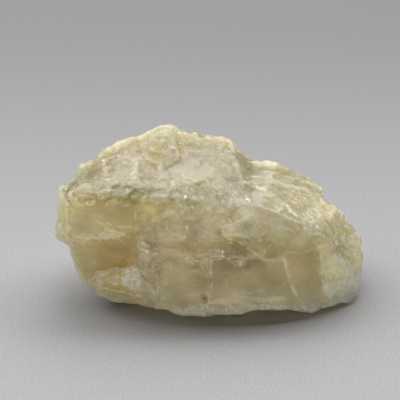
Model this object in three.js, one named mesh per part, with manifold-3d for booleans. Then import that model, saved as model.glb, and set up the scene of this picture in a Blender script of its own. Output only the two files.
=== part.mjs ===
// A rough hand specimen of petalite, a lithium mineral with one perfect cleavage.
//
// One natural piece, so one closed solid in one node. It is put together from
// overlapping convex masses, each the hull of a few corner points, and then split
// along the fracture and cleavage faces that leave ledges, steps and a flat foot.
//
// Millimetres, +Z up. X runs along the length, -Y is the upright front face, and the
// origin is at the middle of the footprint on the resting plane.

import * as THREE from "three";
import { ConvexGeometry } from "three/addons/geometries/ConvexGeometry.js";
import { mergeVertices } from "three/addons/utils/BufferGeometryUtils.js";
import Module from "manifold-3d";

// Driving dimensions, overall, in millimetres.
const LENGTH = 60.0;
const DEPTH = 38.0;
const HEIGHT = 30.7;

// How far below the resting plane the corner points may reach before they are cut off.
const BELOW = 9.0;
const REACH = 90.0;

// Corner points [x, y, z] of each mass.
const MASSES = {
  // High left-hand mass: sloping crown, blunt brow, upright front, undercut toe and a raised left end.
  peak: [
    [-28.9, -2.0, 20.3], [-25.9, 2.0, 22.3], [-24.7, 3.0, 24.0], [-21.6, 5.0, 25.2], [-15.6, 7.0, 27.5],
    [-11.6, 7.0, 28.9], [-7.3, 8.0, 29.3], [0.6, 10.0, 26.9], [4.2, 10.0, 25.9], [7.4, 9.0, 22.6],
    [-28.0, -6.0, 20.6], [-24.8, -9.5, 23.1], [-20.7, -12.0, 23.7], [-15.0, -13.0, 23.8], [-7.1, -12.8, 23.2],
    [-0.8, -12.0, 22.0], [7.7, -12.0, 21.0], [-27.0, -9.0, 13.7], [-20.7, -15.0, 15.9], [-13.5, -17.3, 15.9],
    [-1.8, -18.2, 14.5], [6.7, -18.0, 13.3], [-25.4, -9.5, 6.2], [-21.0, -14.0, 6.1], [-13.2, -17.0, 6.5],
    [-8.4, -18.5, 5.1], [-1.8, -19.0, 5.0], [6.8, -18.5, 4.7], [-24.1, -10.0, 4.1], [-21.1, -12.0, 2.3],
    [-18.8, -12.7, 1.6], [-13.8, -12.7, 1.1], [-9.3, -15.0, 1.1], [-5.2, -17.0, 0.6], [-0.8, -17.3, 0.7],
    [5.9, -16.8, 0.8], [-27.5, 4.0, 14.5], [-24.0, 11.0, 14.0], [-19.0, 13.5, 5.0], [-16.0, 8.0, 0.6],
    [-9.0, 18.6, 17.0], [-4.0, 19.0, 6.0], [-8.0, 15.0, 0.0], [9.0, 18.4, 16.0], [12.0, 18.6, 5.0],
    [8.0, 16.0, 0.0],
  ],
  // Blade along the highest part of the crown, running down its front slope.
  crest: [
    [-13.4, 6.0, 28.8], [-10.6, 6.0, 30.2], [-8.0, 6.5, 30.7], [-6.7, 7.0, 29.9], [-5.3, 8.0, 28.5],
    [-6.2, -2.0, 26.7], [-9.4, -4.8, 25.8], [-12.4, -1.4, 26.8], [-9.0, 9.0, 25.0], [-6.0, 11.0, 25.0],
    [-12.0, 7.0, 25.0], [-9.0, 0.0, 23.0],
  ],
  // Lower right-hand mass, its crown falling away to the right.
  right: [
    [5.8, 9.0, 22.0], [8.2, 9.0, 21.9], [10.8, 9.0, 21.7], [13.3, 8.0, 21.9], [17.6, 8.0, 19.5],
    [21.7, 6.0, 18.1], [22.7, 5.0, 17.5], [22.6, 2.0, 16.6], [24.0, 0.0, 16.0], [3.9, -12.0, 22.0],
    [10.0, -12.0, 21.2], [15.3, -12.5, 19.3], [19.2, -12.3, 16.9], [21.4, -11.3, 14.4], [24.1, -6.5, 11.7],
    [7.7, -18.3, 13.7], [15.3, -17.0, 12.0], [21.0, -14.0, 10.6], [23.7, -10.0, 2.6], [6.8, -18.6, 4.8],
    [15.4, -17.3, 4.5], [21.3, -14.5, 3.1], [6.5, -16.8, 0.9], [11.7, -15.5, 1.3], [15.6, -15.0, 0.9],
    [19.4, -15.6, 0.8], [22.6, -13.0, 0.4], [24.5, 12.0, 9.5], [22.0, 11.5, 2.5], [15.0, 17.6, 13.5],
    [14.0, 17.8, 4.0], [24.0, 6.0, 14.5], [20.0, 10.0, 0.0], [2.0, 18.6, 14.0], [0.0, 18.4, 4.0],
  ],
  // Low wedge at the right end.
  toe: [
    [22.8, 0.0, 17.0], [24.9, -1.0, 16.5], [26.5, -2.0, 14.5], [28.1, -2.0, 12.3], [29.9, -3.0, 9.8],
    [30.1, -4.0, 5.7], [29.9, -5.0, 4.0], [29.1, -8.0, 1.8], [28.1, -10.5, 0.2], [21.7, -10.2, 13.4],
    [21.6, -12.8, 10.0], [25.4, -11.2, 9.2], [21.4, -13.8, 2.8], [24.6, -13.0, 1.0], [26.4, -12.0, 0.9],
    [21.0, -14.0, 0.5], [23.4, -12.8, 0.4], [29.0, 4.0, 8.0], [27.5, 4.5, 1.5], [26.0, 10.5, 8.0],
    [24.0, 10.0, 1.0], [18.0, 14.0, 10.5], [14.0, 14.0, 9.0], [10.0, -10.0, 10.0], [12.0, 14.0, 1.0],
    [23.0, -4.0, 0.0], [18.0, 4.0, 13.0],
  ],
  // Small slab standing out at the left end.
  ear: [
    [-29.3, -2.5, 20.0], [-29.0, -2.0, 20.9], [-27.9, -1.0, 20.7], [-29.4, -4.0, 18.2], [-29.7, -4.0, 15.9],
    [-29.9, -4.0, 14.4], [-29.9, -4.5, 12.9], [-29.1, -5.0, 10.9], [-27.6, -6.5, 10.9], [-27.1, -7.6, 20.3],
    [-27.1, -9.2, 13.4], [-25.0, -6.0, 16.8], [-28.5, 5.0, 13.5], [-27.0, 7.0, 16.0], [-18.0, 5.0, 12.0],
    [-18.0, 5.0, 18.0],
  ],
  // Broad foot whose underside is the cleavage face the stone lies on.
  foot: [
    [-15.5, -9.5, 0.0], [-5.0, -15.6, 0.0], [8.0, -15.2, 0.0], [21.0, -12.0, 0.0], [24.5, -4.0, 0.0],
    [21.0, 9.0, 0.0], [6.0, 14.0, 0.0], [-9.0, 11.0, 0.0], [-16.5, 1.0, 0.0], [-13.6, -8.4, 6.0],
    [-4.4, -13.7, 6.0], [7.0, -13.4, 6.0], [18.5, -10.6, 6.0], [21.6, -3.5, 6.0], [18.5, 7.9, 6.0],
    [5.3, 12.3, 6.0], [-7.9, 9.7, 6.0], [-14.5, 0.9, 6.0],
  ],
};

// Corner points [x, y, z] of each piece that has broken away.
const FRACTURES = {
  // Shallow recess under the ledge on the left of the front.
  recess: [
    [-26.2, -10.3, 13.3], [-20.8, -13.6, 14.9], [-16.2, -15.2, 16.4], [-13.3, -16.0, 18.2],
    [-13.0, -15.9, 13.6], [-13.2, -16.2, 10.1], [-17.4, -15.3, 9.5], [-21.8, -13.2, 7.0], [-25.2, -9.9, 6.6],
    [-25.9, -20.0, 17.8], [-12.6, -24.0, 22.1], [-12.3, -24.0, 15.4], [-15.1, -24.0, 14.1],
    [-24.4, -20.0, 11.4],
  ],
  // Small upward-facing chip below the recess.
  patch: [
    [-17.2, -15.0, 9.1], [-13.0, -15.6, 10.1], [-11.8, -17.6, 6.4], [-16.9, -15.9, 5.5], [-16.8, -24.0, 14.1],
    [-12.5, -24.0, 14.8], [-11.3, -24.0, 9.8], [-16.9, -24.0, 9.8],
  ],
  // Step along the bottom of the back, on the right.
  back1: [
    [-1.0, 20.5, -2.0], [-2.0, 16.4, -2.0], [34.0, 14.4, -2.0], [34.0, 24.0, -2.0], [-1.0, 20.5, 9.5],
    [-2.5, 16.6, 9.2], [34.0, 14.6, 7.5], [34.0, 24.0, 7.5],
  ],
  // Broad cleavage face across the upper left of the back.
  back2: [
    [-30.0, 6.5, 12.0], [-12.0, 16.8, 9.0], [-12.0, 24.0, 9.0], [-36.0, 12.0, 12.0], [-30.0, 4.5, 30.0],
    [-12.0, 13.8, 32.0], [-12.0, 24.0, 34.0], [-36.0, 12.0, 32.0],
  ],
  // Oblique face across the upper right of the back.
  back3: [
    [9.5, 14.2, 12.0], [30.0, 9.0, 11.0], [30.0, 22.0, 11.0], [9.0, 22.0, 12.0], [10.0, 12.5, 26.0],
    [30.0, 5.0, 24.0], [30.0, 22.0, 24.0], [9.0, 22.0, 26.0],
  ],
};

const wasm = await Module();
wasm.setup();

// A closed three.js geometry as a solid.
function solid(geometry) {
  const g = geometry.clone();
  g.deleteAttribute("normal");
  g.deleteAttribute("uv");
  const m = mergeVertices(g, 1e-4);
  return new wasm.Manifold(
    new wasm.Mesh({
      numProp: 3,
      vertProperties: new Float32Array(m.attributes.position.array),
      triVerts: new Uint32Array(m.index.array),
    }),
  );
}

// The convex hull of a list of corner points, as a solid.
function hull(points) {
  return solid(new ConvexGeometry(points.map(([x, y, z]) => new THREE.Vector3(x, y, z))));
}

let stone = null;
for (const points of Object.values(MASSES)) {
  const mass = hull(points);
  stone = stone === null ? mass : stone.add(mass);
}
for (const points of Object.values(FRACTURES)) {
  stone = stone.subtract(hull(points));
}

// The resting face: one plane across the whole foot.
const under = new THREE.BoxGeometry(REACH, REACH, BELOW);
under.translate(0, 0, -BELOW / 2);
stone = stone.subtract(solid(under));

// Back to a three.js geometry, brought to the driving dimensions and set on its origin.
const raw = stone.getMesh();
const geometry = new THREE.BufferGeometry();
geometry.setAttribute("position", new THREE.BufferAttribute(new Float32Array(raw.vertProperties), 3));
geometry.setIndex(new THREE.BufferAttribute(new Uint32Array(raw.triVerts), 1));
geometry.computeBoundingBox();
const { min, max } = geometry.boundingBox;
geometry.translate(-(min.x + max.x) / 2, -(min.y + max.y) / 2, -min.z);
geometry.scale(LENGTH / (max.x - min.x), DEPTH / (max.y - min.y), HEIGHT / (max.z - min.z));
geometry.computeVertexNormals();

const material = new THREE.MeshStandardMaterial({ color: 0xb9b08c, roughness: 0.45, metalness: 0.0 });
const petalite = new THREE.Mesh(geometry, material);
petalite.name = "petalite_stone";

const group = new THREE.Group();
group.add(petalite);

export default group;
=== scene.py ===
import math

import bpy
import numpy as np
from mathutils import Matrix, Vector


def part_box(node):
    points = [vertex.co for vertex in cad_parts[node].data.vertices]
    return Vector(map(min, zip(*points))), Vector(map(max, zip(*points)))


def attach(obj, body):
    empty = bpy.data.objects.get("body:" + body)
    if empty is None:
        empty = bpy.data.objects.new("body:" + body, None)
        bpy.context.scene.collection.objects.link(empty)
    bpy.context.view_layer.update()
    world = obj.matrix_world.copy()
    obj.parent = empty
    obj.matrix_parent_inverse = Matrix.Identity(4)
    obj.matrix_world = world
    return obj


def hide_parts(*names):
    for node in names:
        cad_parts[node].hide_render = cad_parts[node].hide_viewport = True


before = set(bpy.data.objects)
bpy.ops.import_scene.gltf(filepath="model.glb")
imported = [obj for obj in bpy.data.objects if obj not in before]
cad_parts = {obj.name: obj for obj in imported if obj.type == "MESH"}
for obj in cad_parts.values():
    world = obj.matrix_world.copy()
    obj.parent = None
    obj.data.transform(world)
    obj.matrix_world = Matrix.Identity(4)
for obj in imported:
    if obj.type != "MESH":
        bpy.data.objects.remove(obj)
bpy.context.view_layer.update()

NODE = "petalite_stone"

# ---------------------------------------------------------------------------------------
# The stone's construction, as in the CAD source, in millimetres: convex masses given by
# their corner points, and the pieces that have broken away.
# ---------------------------------------------------------------------------------------
MASSES = {
    "peak": [
        (-28.9, -2.0, 20.3), (-25.9, 2.0, 22.3), (-24.7, 3.0, 24.0), (-21.6, 5.0, 25.2), (-15.6, 7.0, 27.5),
        (-11.6, 7.0, 28.9), (-7.3, 8.0, 29.3), (0.6, 10.0, 26.9), (4.2, 10.0, 25.9), (7.4, 9.0, 22.6),
        (-28.0, -6.0, 20.6), (-24.8, -9.5, 23.1), (-20.7, -12.0, 23.7), (-15.0, -13.0, 23.8),
        (-7.1, -12.8, 23.2), (-0.8, -12.0, 22.0), (7.7, -12.0, 21.0), (-27.0, -9.0, 13.7),
        (-20.7, -15.0, 15.9), (-13.5, -17.3, 15.9), (-1.8, -18.2, 14.5), (6.7, -18.0, 13.3),
        (-25.4, -9.5, 6.2), (-21.0, -14.0, 6.1), (-13.2, -17.0, 6.5), (-8.4, -18.5, 5.1),
        (-1.8, -19.0, 5.0), (6.8, -18.5, 4.7), (-24.1, -10.0, 4.1), (-21.1, -12.0, 2.3),
        (-18.8, -12.7, 1.6), (-13.8, -12.7, 1.1), (-9.3, -15.0, 1.1), (-5.2, -17.0, 0.6),
        (-0.8, -17.3, 0.7), (5.9, -16.8, 0.8), (-27.5, 4.0, 14.5), (-24.0, 11.0, 14.0), (-19.0, 13.5, 5.0),
        (-16.0, 8.0, 0.6), (-9.0, 18.6, 17.0), (-4.0, 19.0, 6.0), (-8.0, 15.0, 0.0), (9.0, 18.4, 16.0),
        (12.0, 18.6, 5.0), (8.0, 16.0, 0.0),
    ],
    "crest": [
        (-13.4, 6.0, 28.8), (-10.6, 6.0, 30.2), (-8.0, 6.5, 30.7), (-6.7, 7.0, 29.9), (-5.3, 8.0, 28.5),
        (-6.2, -2.0, 26.7), (-9.4, -4.8, 25.8), (-12.4, -1.4, 26.8), (-9.0, 9.0, 25.0), (-6.0, 11.0, 25.0),
        (-12.0, 7.0, 25.0), (-9.0, 0.0, 23.0),
    ],
    "right": [
        (5.8, 9.0, 22.0), (8.2, 9.0, 21.9), (10.8, 9.0, 21.7), (13.3, 8.0, 21.9), (17.6, 8.0, 19.5),
        (21.7, 6.0, 18.1), (22.7, 5.0, 17.5), (22.6, 2.0, 16.6), (24.0, 0.0, 16.0), (3.9, -12.0, 22.0),
        (10.0, -12.0, 21.2), (15.3, -12.5, 19.3), (19.2, -12.3, 16.9), (21.4, -11.3, 14.4),
        (24.1, -6.5, 11.7), (7.7, -18.3, 13.7), (15.3, -17.0, 12.0), (21.0, -14.0, 10.6),
        (23.7, -10.0, 2.6), (6.8, -18.6, 4.8), (15.4, -17.3, 4.5), (21.3, -14.5, 3.1), (6.5, -16.8, 0.9),
        (11.7, -15.5, 1.3), (15.6, -15.0, 0.9), (19.4, -15.6, 0.8), (22.6, -13.0, 0.4), (24.5, 12.0, 9.5),
        (22.0, 11.5, 2.5), (15.0, 17.6, 13.5), (14.0, 17.8, 4.0), (24.0, 6.0, 14.5), (20.0, 10.0, 0.0),
        (2.0, 18.6, 14.0), (0.0, 18.4, 4.0),
    ],
    "toe": [
        (22.8, 0.0, 17.0), (24.9, -1.0, 16.5), (26.5, -2.0, 14.5), (28.1, -2.0, 12.3), (29.9, -3.0, 9.8),
        (30.1, -4.0, 5.7), (29.9, -5.0, 4.0), (29.1, -8.0, 1.8), (28.1, -10.5, 0.2), (21.7, -10.2, 13.4),
        (21.6, -12.8, 10.0), (25.4, -11.2, 9.2), (21.4, -13.8, 2.8), (24.6, -13.0, 1.0), (26.4, -12.0, 0.9),
        (21.0, -14.0, 0.5), (23.4, -12.8, 0.4), (29.0, 4.0, 8.0), (27.5, 4.5, 1.5), (26.0, 10.5, 8.0),
        (24.0, 10.0, 1.0), (18.0, 14.0, 10.5), (14.0, 14.0, 9.0), (10.0, -10.0, 10.0), (12.0, 14.0, 1.0),
        (23.0, -4.0, 0.0), (18.0, 4.0, 13.0),
    ],
    "ear": [
        (-29.3, -2.5, 20.0), (-29.0, -2.0, 20.9), (-27.9, -1.0, 20.7), (-29.4, -4.0, 18.2),
        (-29.7, -4.0, 15.9), (-29.9, -4.0, 14.4), (-29.9, -4.5, 12.9), (-29.1, -5.0, 10.9),
        (-27.6, -6.5, 10.9), (-27.1, -7.6, 20.3), (-27.1, -9.2, 13.4), (-25.0, -6.0, 16.8),
        (-28.5, 5.0, 13.5), (-27.0, 7.0, 16.0), (-18.0, 5.0, 12.0), (-18.0, 5.0, 18.0),
    ],
    "foot": [
        (-15.5, -9.5, 0.0), (-5.0, -15.6, 0.0), (8.0, -15.2, 0.0), (21.0, -12.0, 0.0), (24.5, -4.0, 0.0),
        (21.0, 9.0, 0.0), (6.0, 14.0, 0.0), (-9.0, 11.0, 0.0), (-16.5, 1.0, 0.0), (-13.6, -8.4, 6.0),
        (-4.4, -13.7, 6.0), (7.0, -13.4, 6.0), (18.5, -10.6, 6.0), (21.6, -3.5, 6.0), (18.5, 7.9, 6.0),
        (5.3, 12.3, 6.0), (-7.9, 9.7, 6.0), (-14.5, 0.9, 6.0),
    ],
}
FRACTURES = {
    "recess": [
        (-26.2, -10.3, 13.3), (-20.8, -13.6, 14.9), (-16.2, -15.2, 16.4), (-13.3, -16.0, 18.2),
        (-13.0, -15.9, 13.6), (-13.2, -16.2, 10.1), (-17.4, -15.3, 9.5), (-21.8, -13.2, 7.0),
        (-25.2, -9.9, 6.6), (-25.9, -20.0, 17.8), (-12.6, -24.0, 22.1), (-12.3, -24.0, 15.4),
        (-15.1, -24.0, 14.1), (-24.4, -20.0, 11.4),
    ],
    "patch": [
        (-17.2, -15.0, 9.1), (-13.0, -15.6, 10.1), (-11.8, -17.6, 6.4), (-16.9, -15.9, 5.5),
        (-16.8, -24.0, 14.1), (-12.5, -24.0, 14.8), (-11.3, -24.0, 9.8), (-16.9, -24.0, 9.8),
    ],
    "back1": [
        (-1.0, 20.5, -2.0), (-2.0, 16.4, -2.0), (34.0, 14.4, -2.0), (34.0, 24.0, -2.0), (-1.0, 20.5, 9.5),
        (-2.5, 16.6, 9.2), (34.0, 14.6, 7.5), (34.0, 24.0, 7.5),
    ],
    "back2": [
        (-30.0, 6.5, 12.0), (-12.0, 16.8, 9.0), (-12.0, 24.0, 9.0), (-36.0, 12.0, 12.0), (-30.0, 4.5, 30.0),
        (-12.0, 13.8, 32.0), (-12.0, 24.0, 34.0), (-36.0, 12.0, 32.0),
    ],
    "back3": [
        (9.5, 14.2, 12.0), (30.0, 9.0, 11.0), (30.0, 22.0, 11.0), (9.0, 22.0, 12.0), (10.0, 12.5, 26.0),
        (30.0, 5.0, 24.0), (30.0, 22.0, 24.0), (9.0, 22.0, 26.0),
    ],
}
# a slight sill along the foot of the front, finer than the CAD shows
SILL = [
    (-9.6, -17.1, 5.0), (-9.6, -18.5, 1.0), (-9.6, -16.1, 0.0), (-9.6, -13.7, 3.0),
    (-5.0, -18.2, 5.0), (-5.0, -19.6, 1.0), (-5.0, -17.2, 0.0), (-5.0, -14.8, 3.0),
    (-2.0, -18.5, 5.0), (-2.0, -19.9, 1.0), (-2.0, -17.5, 0.0), (-2.0, -15.1, 3.0),
    (1.0, -18.5, 5.0), (1.0, -19.9, 1.0), (1.0, -17.5, 0.0), (1.0, -15.1, 3.0),
    (4.0, -18.4, 5.0), (4.0, -19.8, 1.0), (4.0, -17.4, 0.0), (4.0, -15.0, 3.0),
    (7.0, -18.2, 5.0), (7.0, -19.6, 1.0), (7.0, -17.2, 0.0), (7.0, -14.8, 3.0),
    (10.0, -17.9, 5.0), (10.0, -19.3, 1.0), (10.0, -16.9, 0.0), (10.0, -14.5, 3.0),
    (13.0, -17.4, 5.0), (13.0, -18.8, 0.7), (13.0, -16.4, 0.0), (13.0, -14.0, 3.0),
    (16.0, -16.7, 5.0), (16.0, -18.1, 0.7), (16.0, -15.7, 0.0), (16.0, -13.3, 3.0),
    (19.0, -15.5, 5.0), (19.0, -16.9, 0.7), (19.0, -14.5, 0.0), (19.0, -12.1, 3.0),
    (22.0, -13.8, 5.0), (22.0, -15.2, 0.7), (22.0, -12.8, 0.0), (22.0, -10.4, 3.0),
    (25.0, -12.0, 5.0), (25.0, -13.4, 0.7), (25.0, -11.0, 0.0), (25.0, -8.6, 3.0),
]

# Relief of the front, in millimetres: x, and height in a plane that leans back 24 degrees.
OUTLINE = [
    (-29.6, 17.2), (-29.2, 18.4), (-27.6, 18.9), (-26.1, 19.7), (-25.9, 21.3), (-25.1, 22.9), (-23.7, 23.6),
    (-22.3, 23.6), (-21.4, 25.2), (-19.8, 26.2), (-17.8, 27.4), (-15.5, 28.0), (-13.5, 28.5), (-12.0, 29.1),
    (-11.0, 29.9), (-9.6, 30.3), (-8.0, 30.6), (-7.1, 30.5), (-5.7, 29.5), (-4.5, 29.1), (-2.5, 29.3),
    (-1.8, 28.5), (0.2, 28.4), (2.6, 28.2), (4.1, 27.6), (5.3, 26.6), (6.3, 25.4), (7.3, 24.2), (8.0, 23.6),
    (10.4, 23.5), (12.9, 23.3), (14.3, 22.7), (15.9, 21.7), (17.3, 20.9), (19.8, 19.9), (21.4, 18.9),
    (22.4, 18.2), (22.2, 15.8), (23.3, 15.2), (24.7, 14.6), (25.9, 13.6), (27.1, 11.5), (29.2, 9.1),
    (29.8, 8.0), (30.2, 3.5), (29.6, 0.1), (29.0, -3.2), (27.7, -4.4), (25.9, -4.2), (24.7, -4.8),
    (23.1, -5.2), (21.4, -5.8), (19.8, -6.2), (17.8, -6.0), (15.9, -5.6), (13.9, -5.8), (11.6, -5.6),
    (8.0, -6.0), (6.7, -6.5), (4.7, -6.7), (1.2, -6.5), (-0.8, -6.9), (-4.7, -6.9), (-6.7, -6.4),
    (-8.0, -5.8), (-9.4, -5.4), (-10.6, -5.5), (-12.9, -4.8), (-14.3, -4.4), (-17.4, -4.4), (-19.4, -4.0),
    (-21.4, -3.2), (-22.7, -1.8), (-23.9, -0.7), (-25.3, -0.1), (-25.7, 1.1), (-26.3, 3.1), (-26.9, 5.0),
    (-27.3, 6.4), (-28.0, 7.2), (-29.2, 7.8), (-30.0, 8.9), (-30.2, 10.1), (-30.0, 11.7), (-29.6, 12.9),
    (-29.6, 14.8),
]
LINES = {
    "brow": [(-27.6, 16.2), (-25.0, 16.8), (-22.7, 16.7), (-19.9, 16.3), (-17.3, 16.7), (-14.6, 16.8), (-11.2, 16.8), (-8.2, 16.0), (-5.2, 15.2)],
    "ledge": [(-27.8, 7.4), (-25.6, 8.2), (-22.8, 8.4), (-18.9, 8.4), (-16.8, 8.9), (-15.2, 9.7), (-13.6, 10.6)],
    "wall": [(-13.3, 11.3), (-13.1, 8.2), (-12.8, 5.4), (-13.2, 2.5)],
    "rib": [(-9.7, 7.1), (-9.5, 4.8), (-9.7, 3.3), (-9.3, 0.8), (-9.7, -1.7), (-9.0, -3.9)],
    "zigzag": [(-0.8, 8.3), (1.3, 8.0), (2.4, 9.0), (4.7, 8.4), (6.2, 7.7), (7.7, 6.4), (9.0, 5.5), (10.1, 5.3), (10.7, 6.9), (12.1, 7.7)],
    "diagonal": [(12.6, 7.7), (13.2, 6.0), (14.2, 3.9), (14.8, 2.1), (15.6, -0.2), (16.6, -2.5), (17.6, -4.9)],
    "upright": [(20.8, 8.9), (21.0, 6.2), (21.4, 3.5), (21.7, 1.2), (22.3, -1.2), (23.2, -4.1)],
    "top_step": [(0.5, 4.6), (2.8, 4.7), (5.8, 4.9), (6.9, 6.0)],
    "crack": [(0.2, 5.2), (0.2, 3.7), (0.4, 2.2), (0.5, 1.2)],
    "arc": [(-5.5, 1.0), (-5.2, 2.1), (-3.7, 2.6), (-2.1, 2.6), (-1.0, 1.8), (0.3, 1.1)],
    "groove": [(-26.7, 16.6), (-26.6, 14.3), (-26.6, 11.2), (-26.8, 8.1)],
    "low_crack": [(-22.6, 0.2), (-20.9, 0.9), (-19.4, 1.3), (-18.4, 2.2), (-17.3, 2.2), (-16.1, 1.5), (-15.5, -0.4)],
    "seam": [(-14.2, 16.0), (-14.0, 13.5), (-13.5, 11.3)],
    "rim_line": [(-21.9, -1.2), (-19.5, -1.3), (-17.1, -1.7), (-14.6, -2.6), (-12.1, -1.9), (-9.9, -2.1)],
    "foot_line": [(-15.6, -3.2), (-13.2, -2.6), (-11.3, -2.1), (-9.4, -3.1), (-8.3, -4.3)],
    "tick": [(-3.3, -0.3), (-1.8, -0.3)],
    "crown_step": [(-13.6, 23.9), (-13.3, 22.4), (-13.4, 20.8), (-13.0, 19.0), (-11.3, 18.3)],
    "crown_step2": [(-10.1, 25.5), (-9.3, 23.5), (-10.0, 22.2), (-9.8, 20.0), (-11.3, 18.3)],
    "crown_lip": [(-2.5, 27.2), (-0.6, 27.7), (1.0, 27.4), (3.0, 26.1)],
    "right_lip": [(14.2, 15.2), (15.8, 13.7), (17.5, 12.2), (19.5, 11.4), (21.3, 10.4), (23.6, 10.0)],
    "right_band": [(8.0, 19.5), (10.3, 20.1), (13.1, 19.5), (15.8, 18.5), (18.4, 17.8), (21.0, 16.4)],
    "left_lip": [(-24.2, 20.4), (-21.6, 18.9), (-19.3, 18.4), (-17.0, 18.5), (-14.3, 18.0), (-11.3, 17.7)],
}
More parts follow.
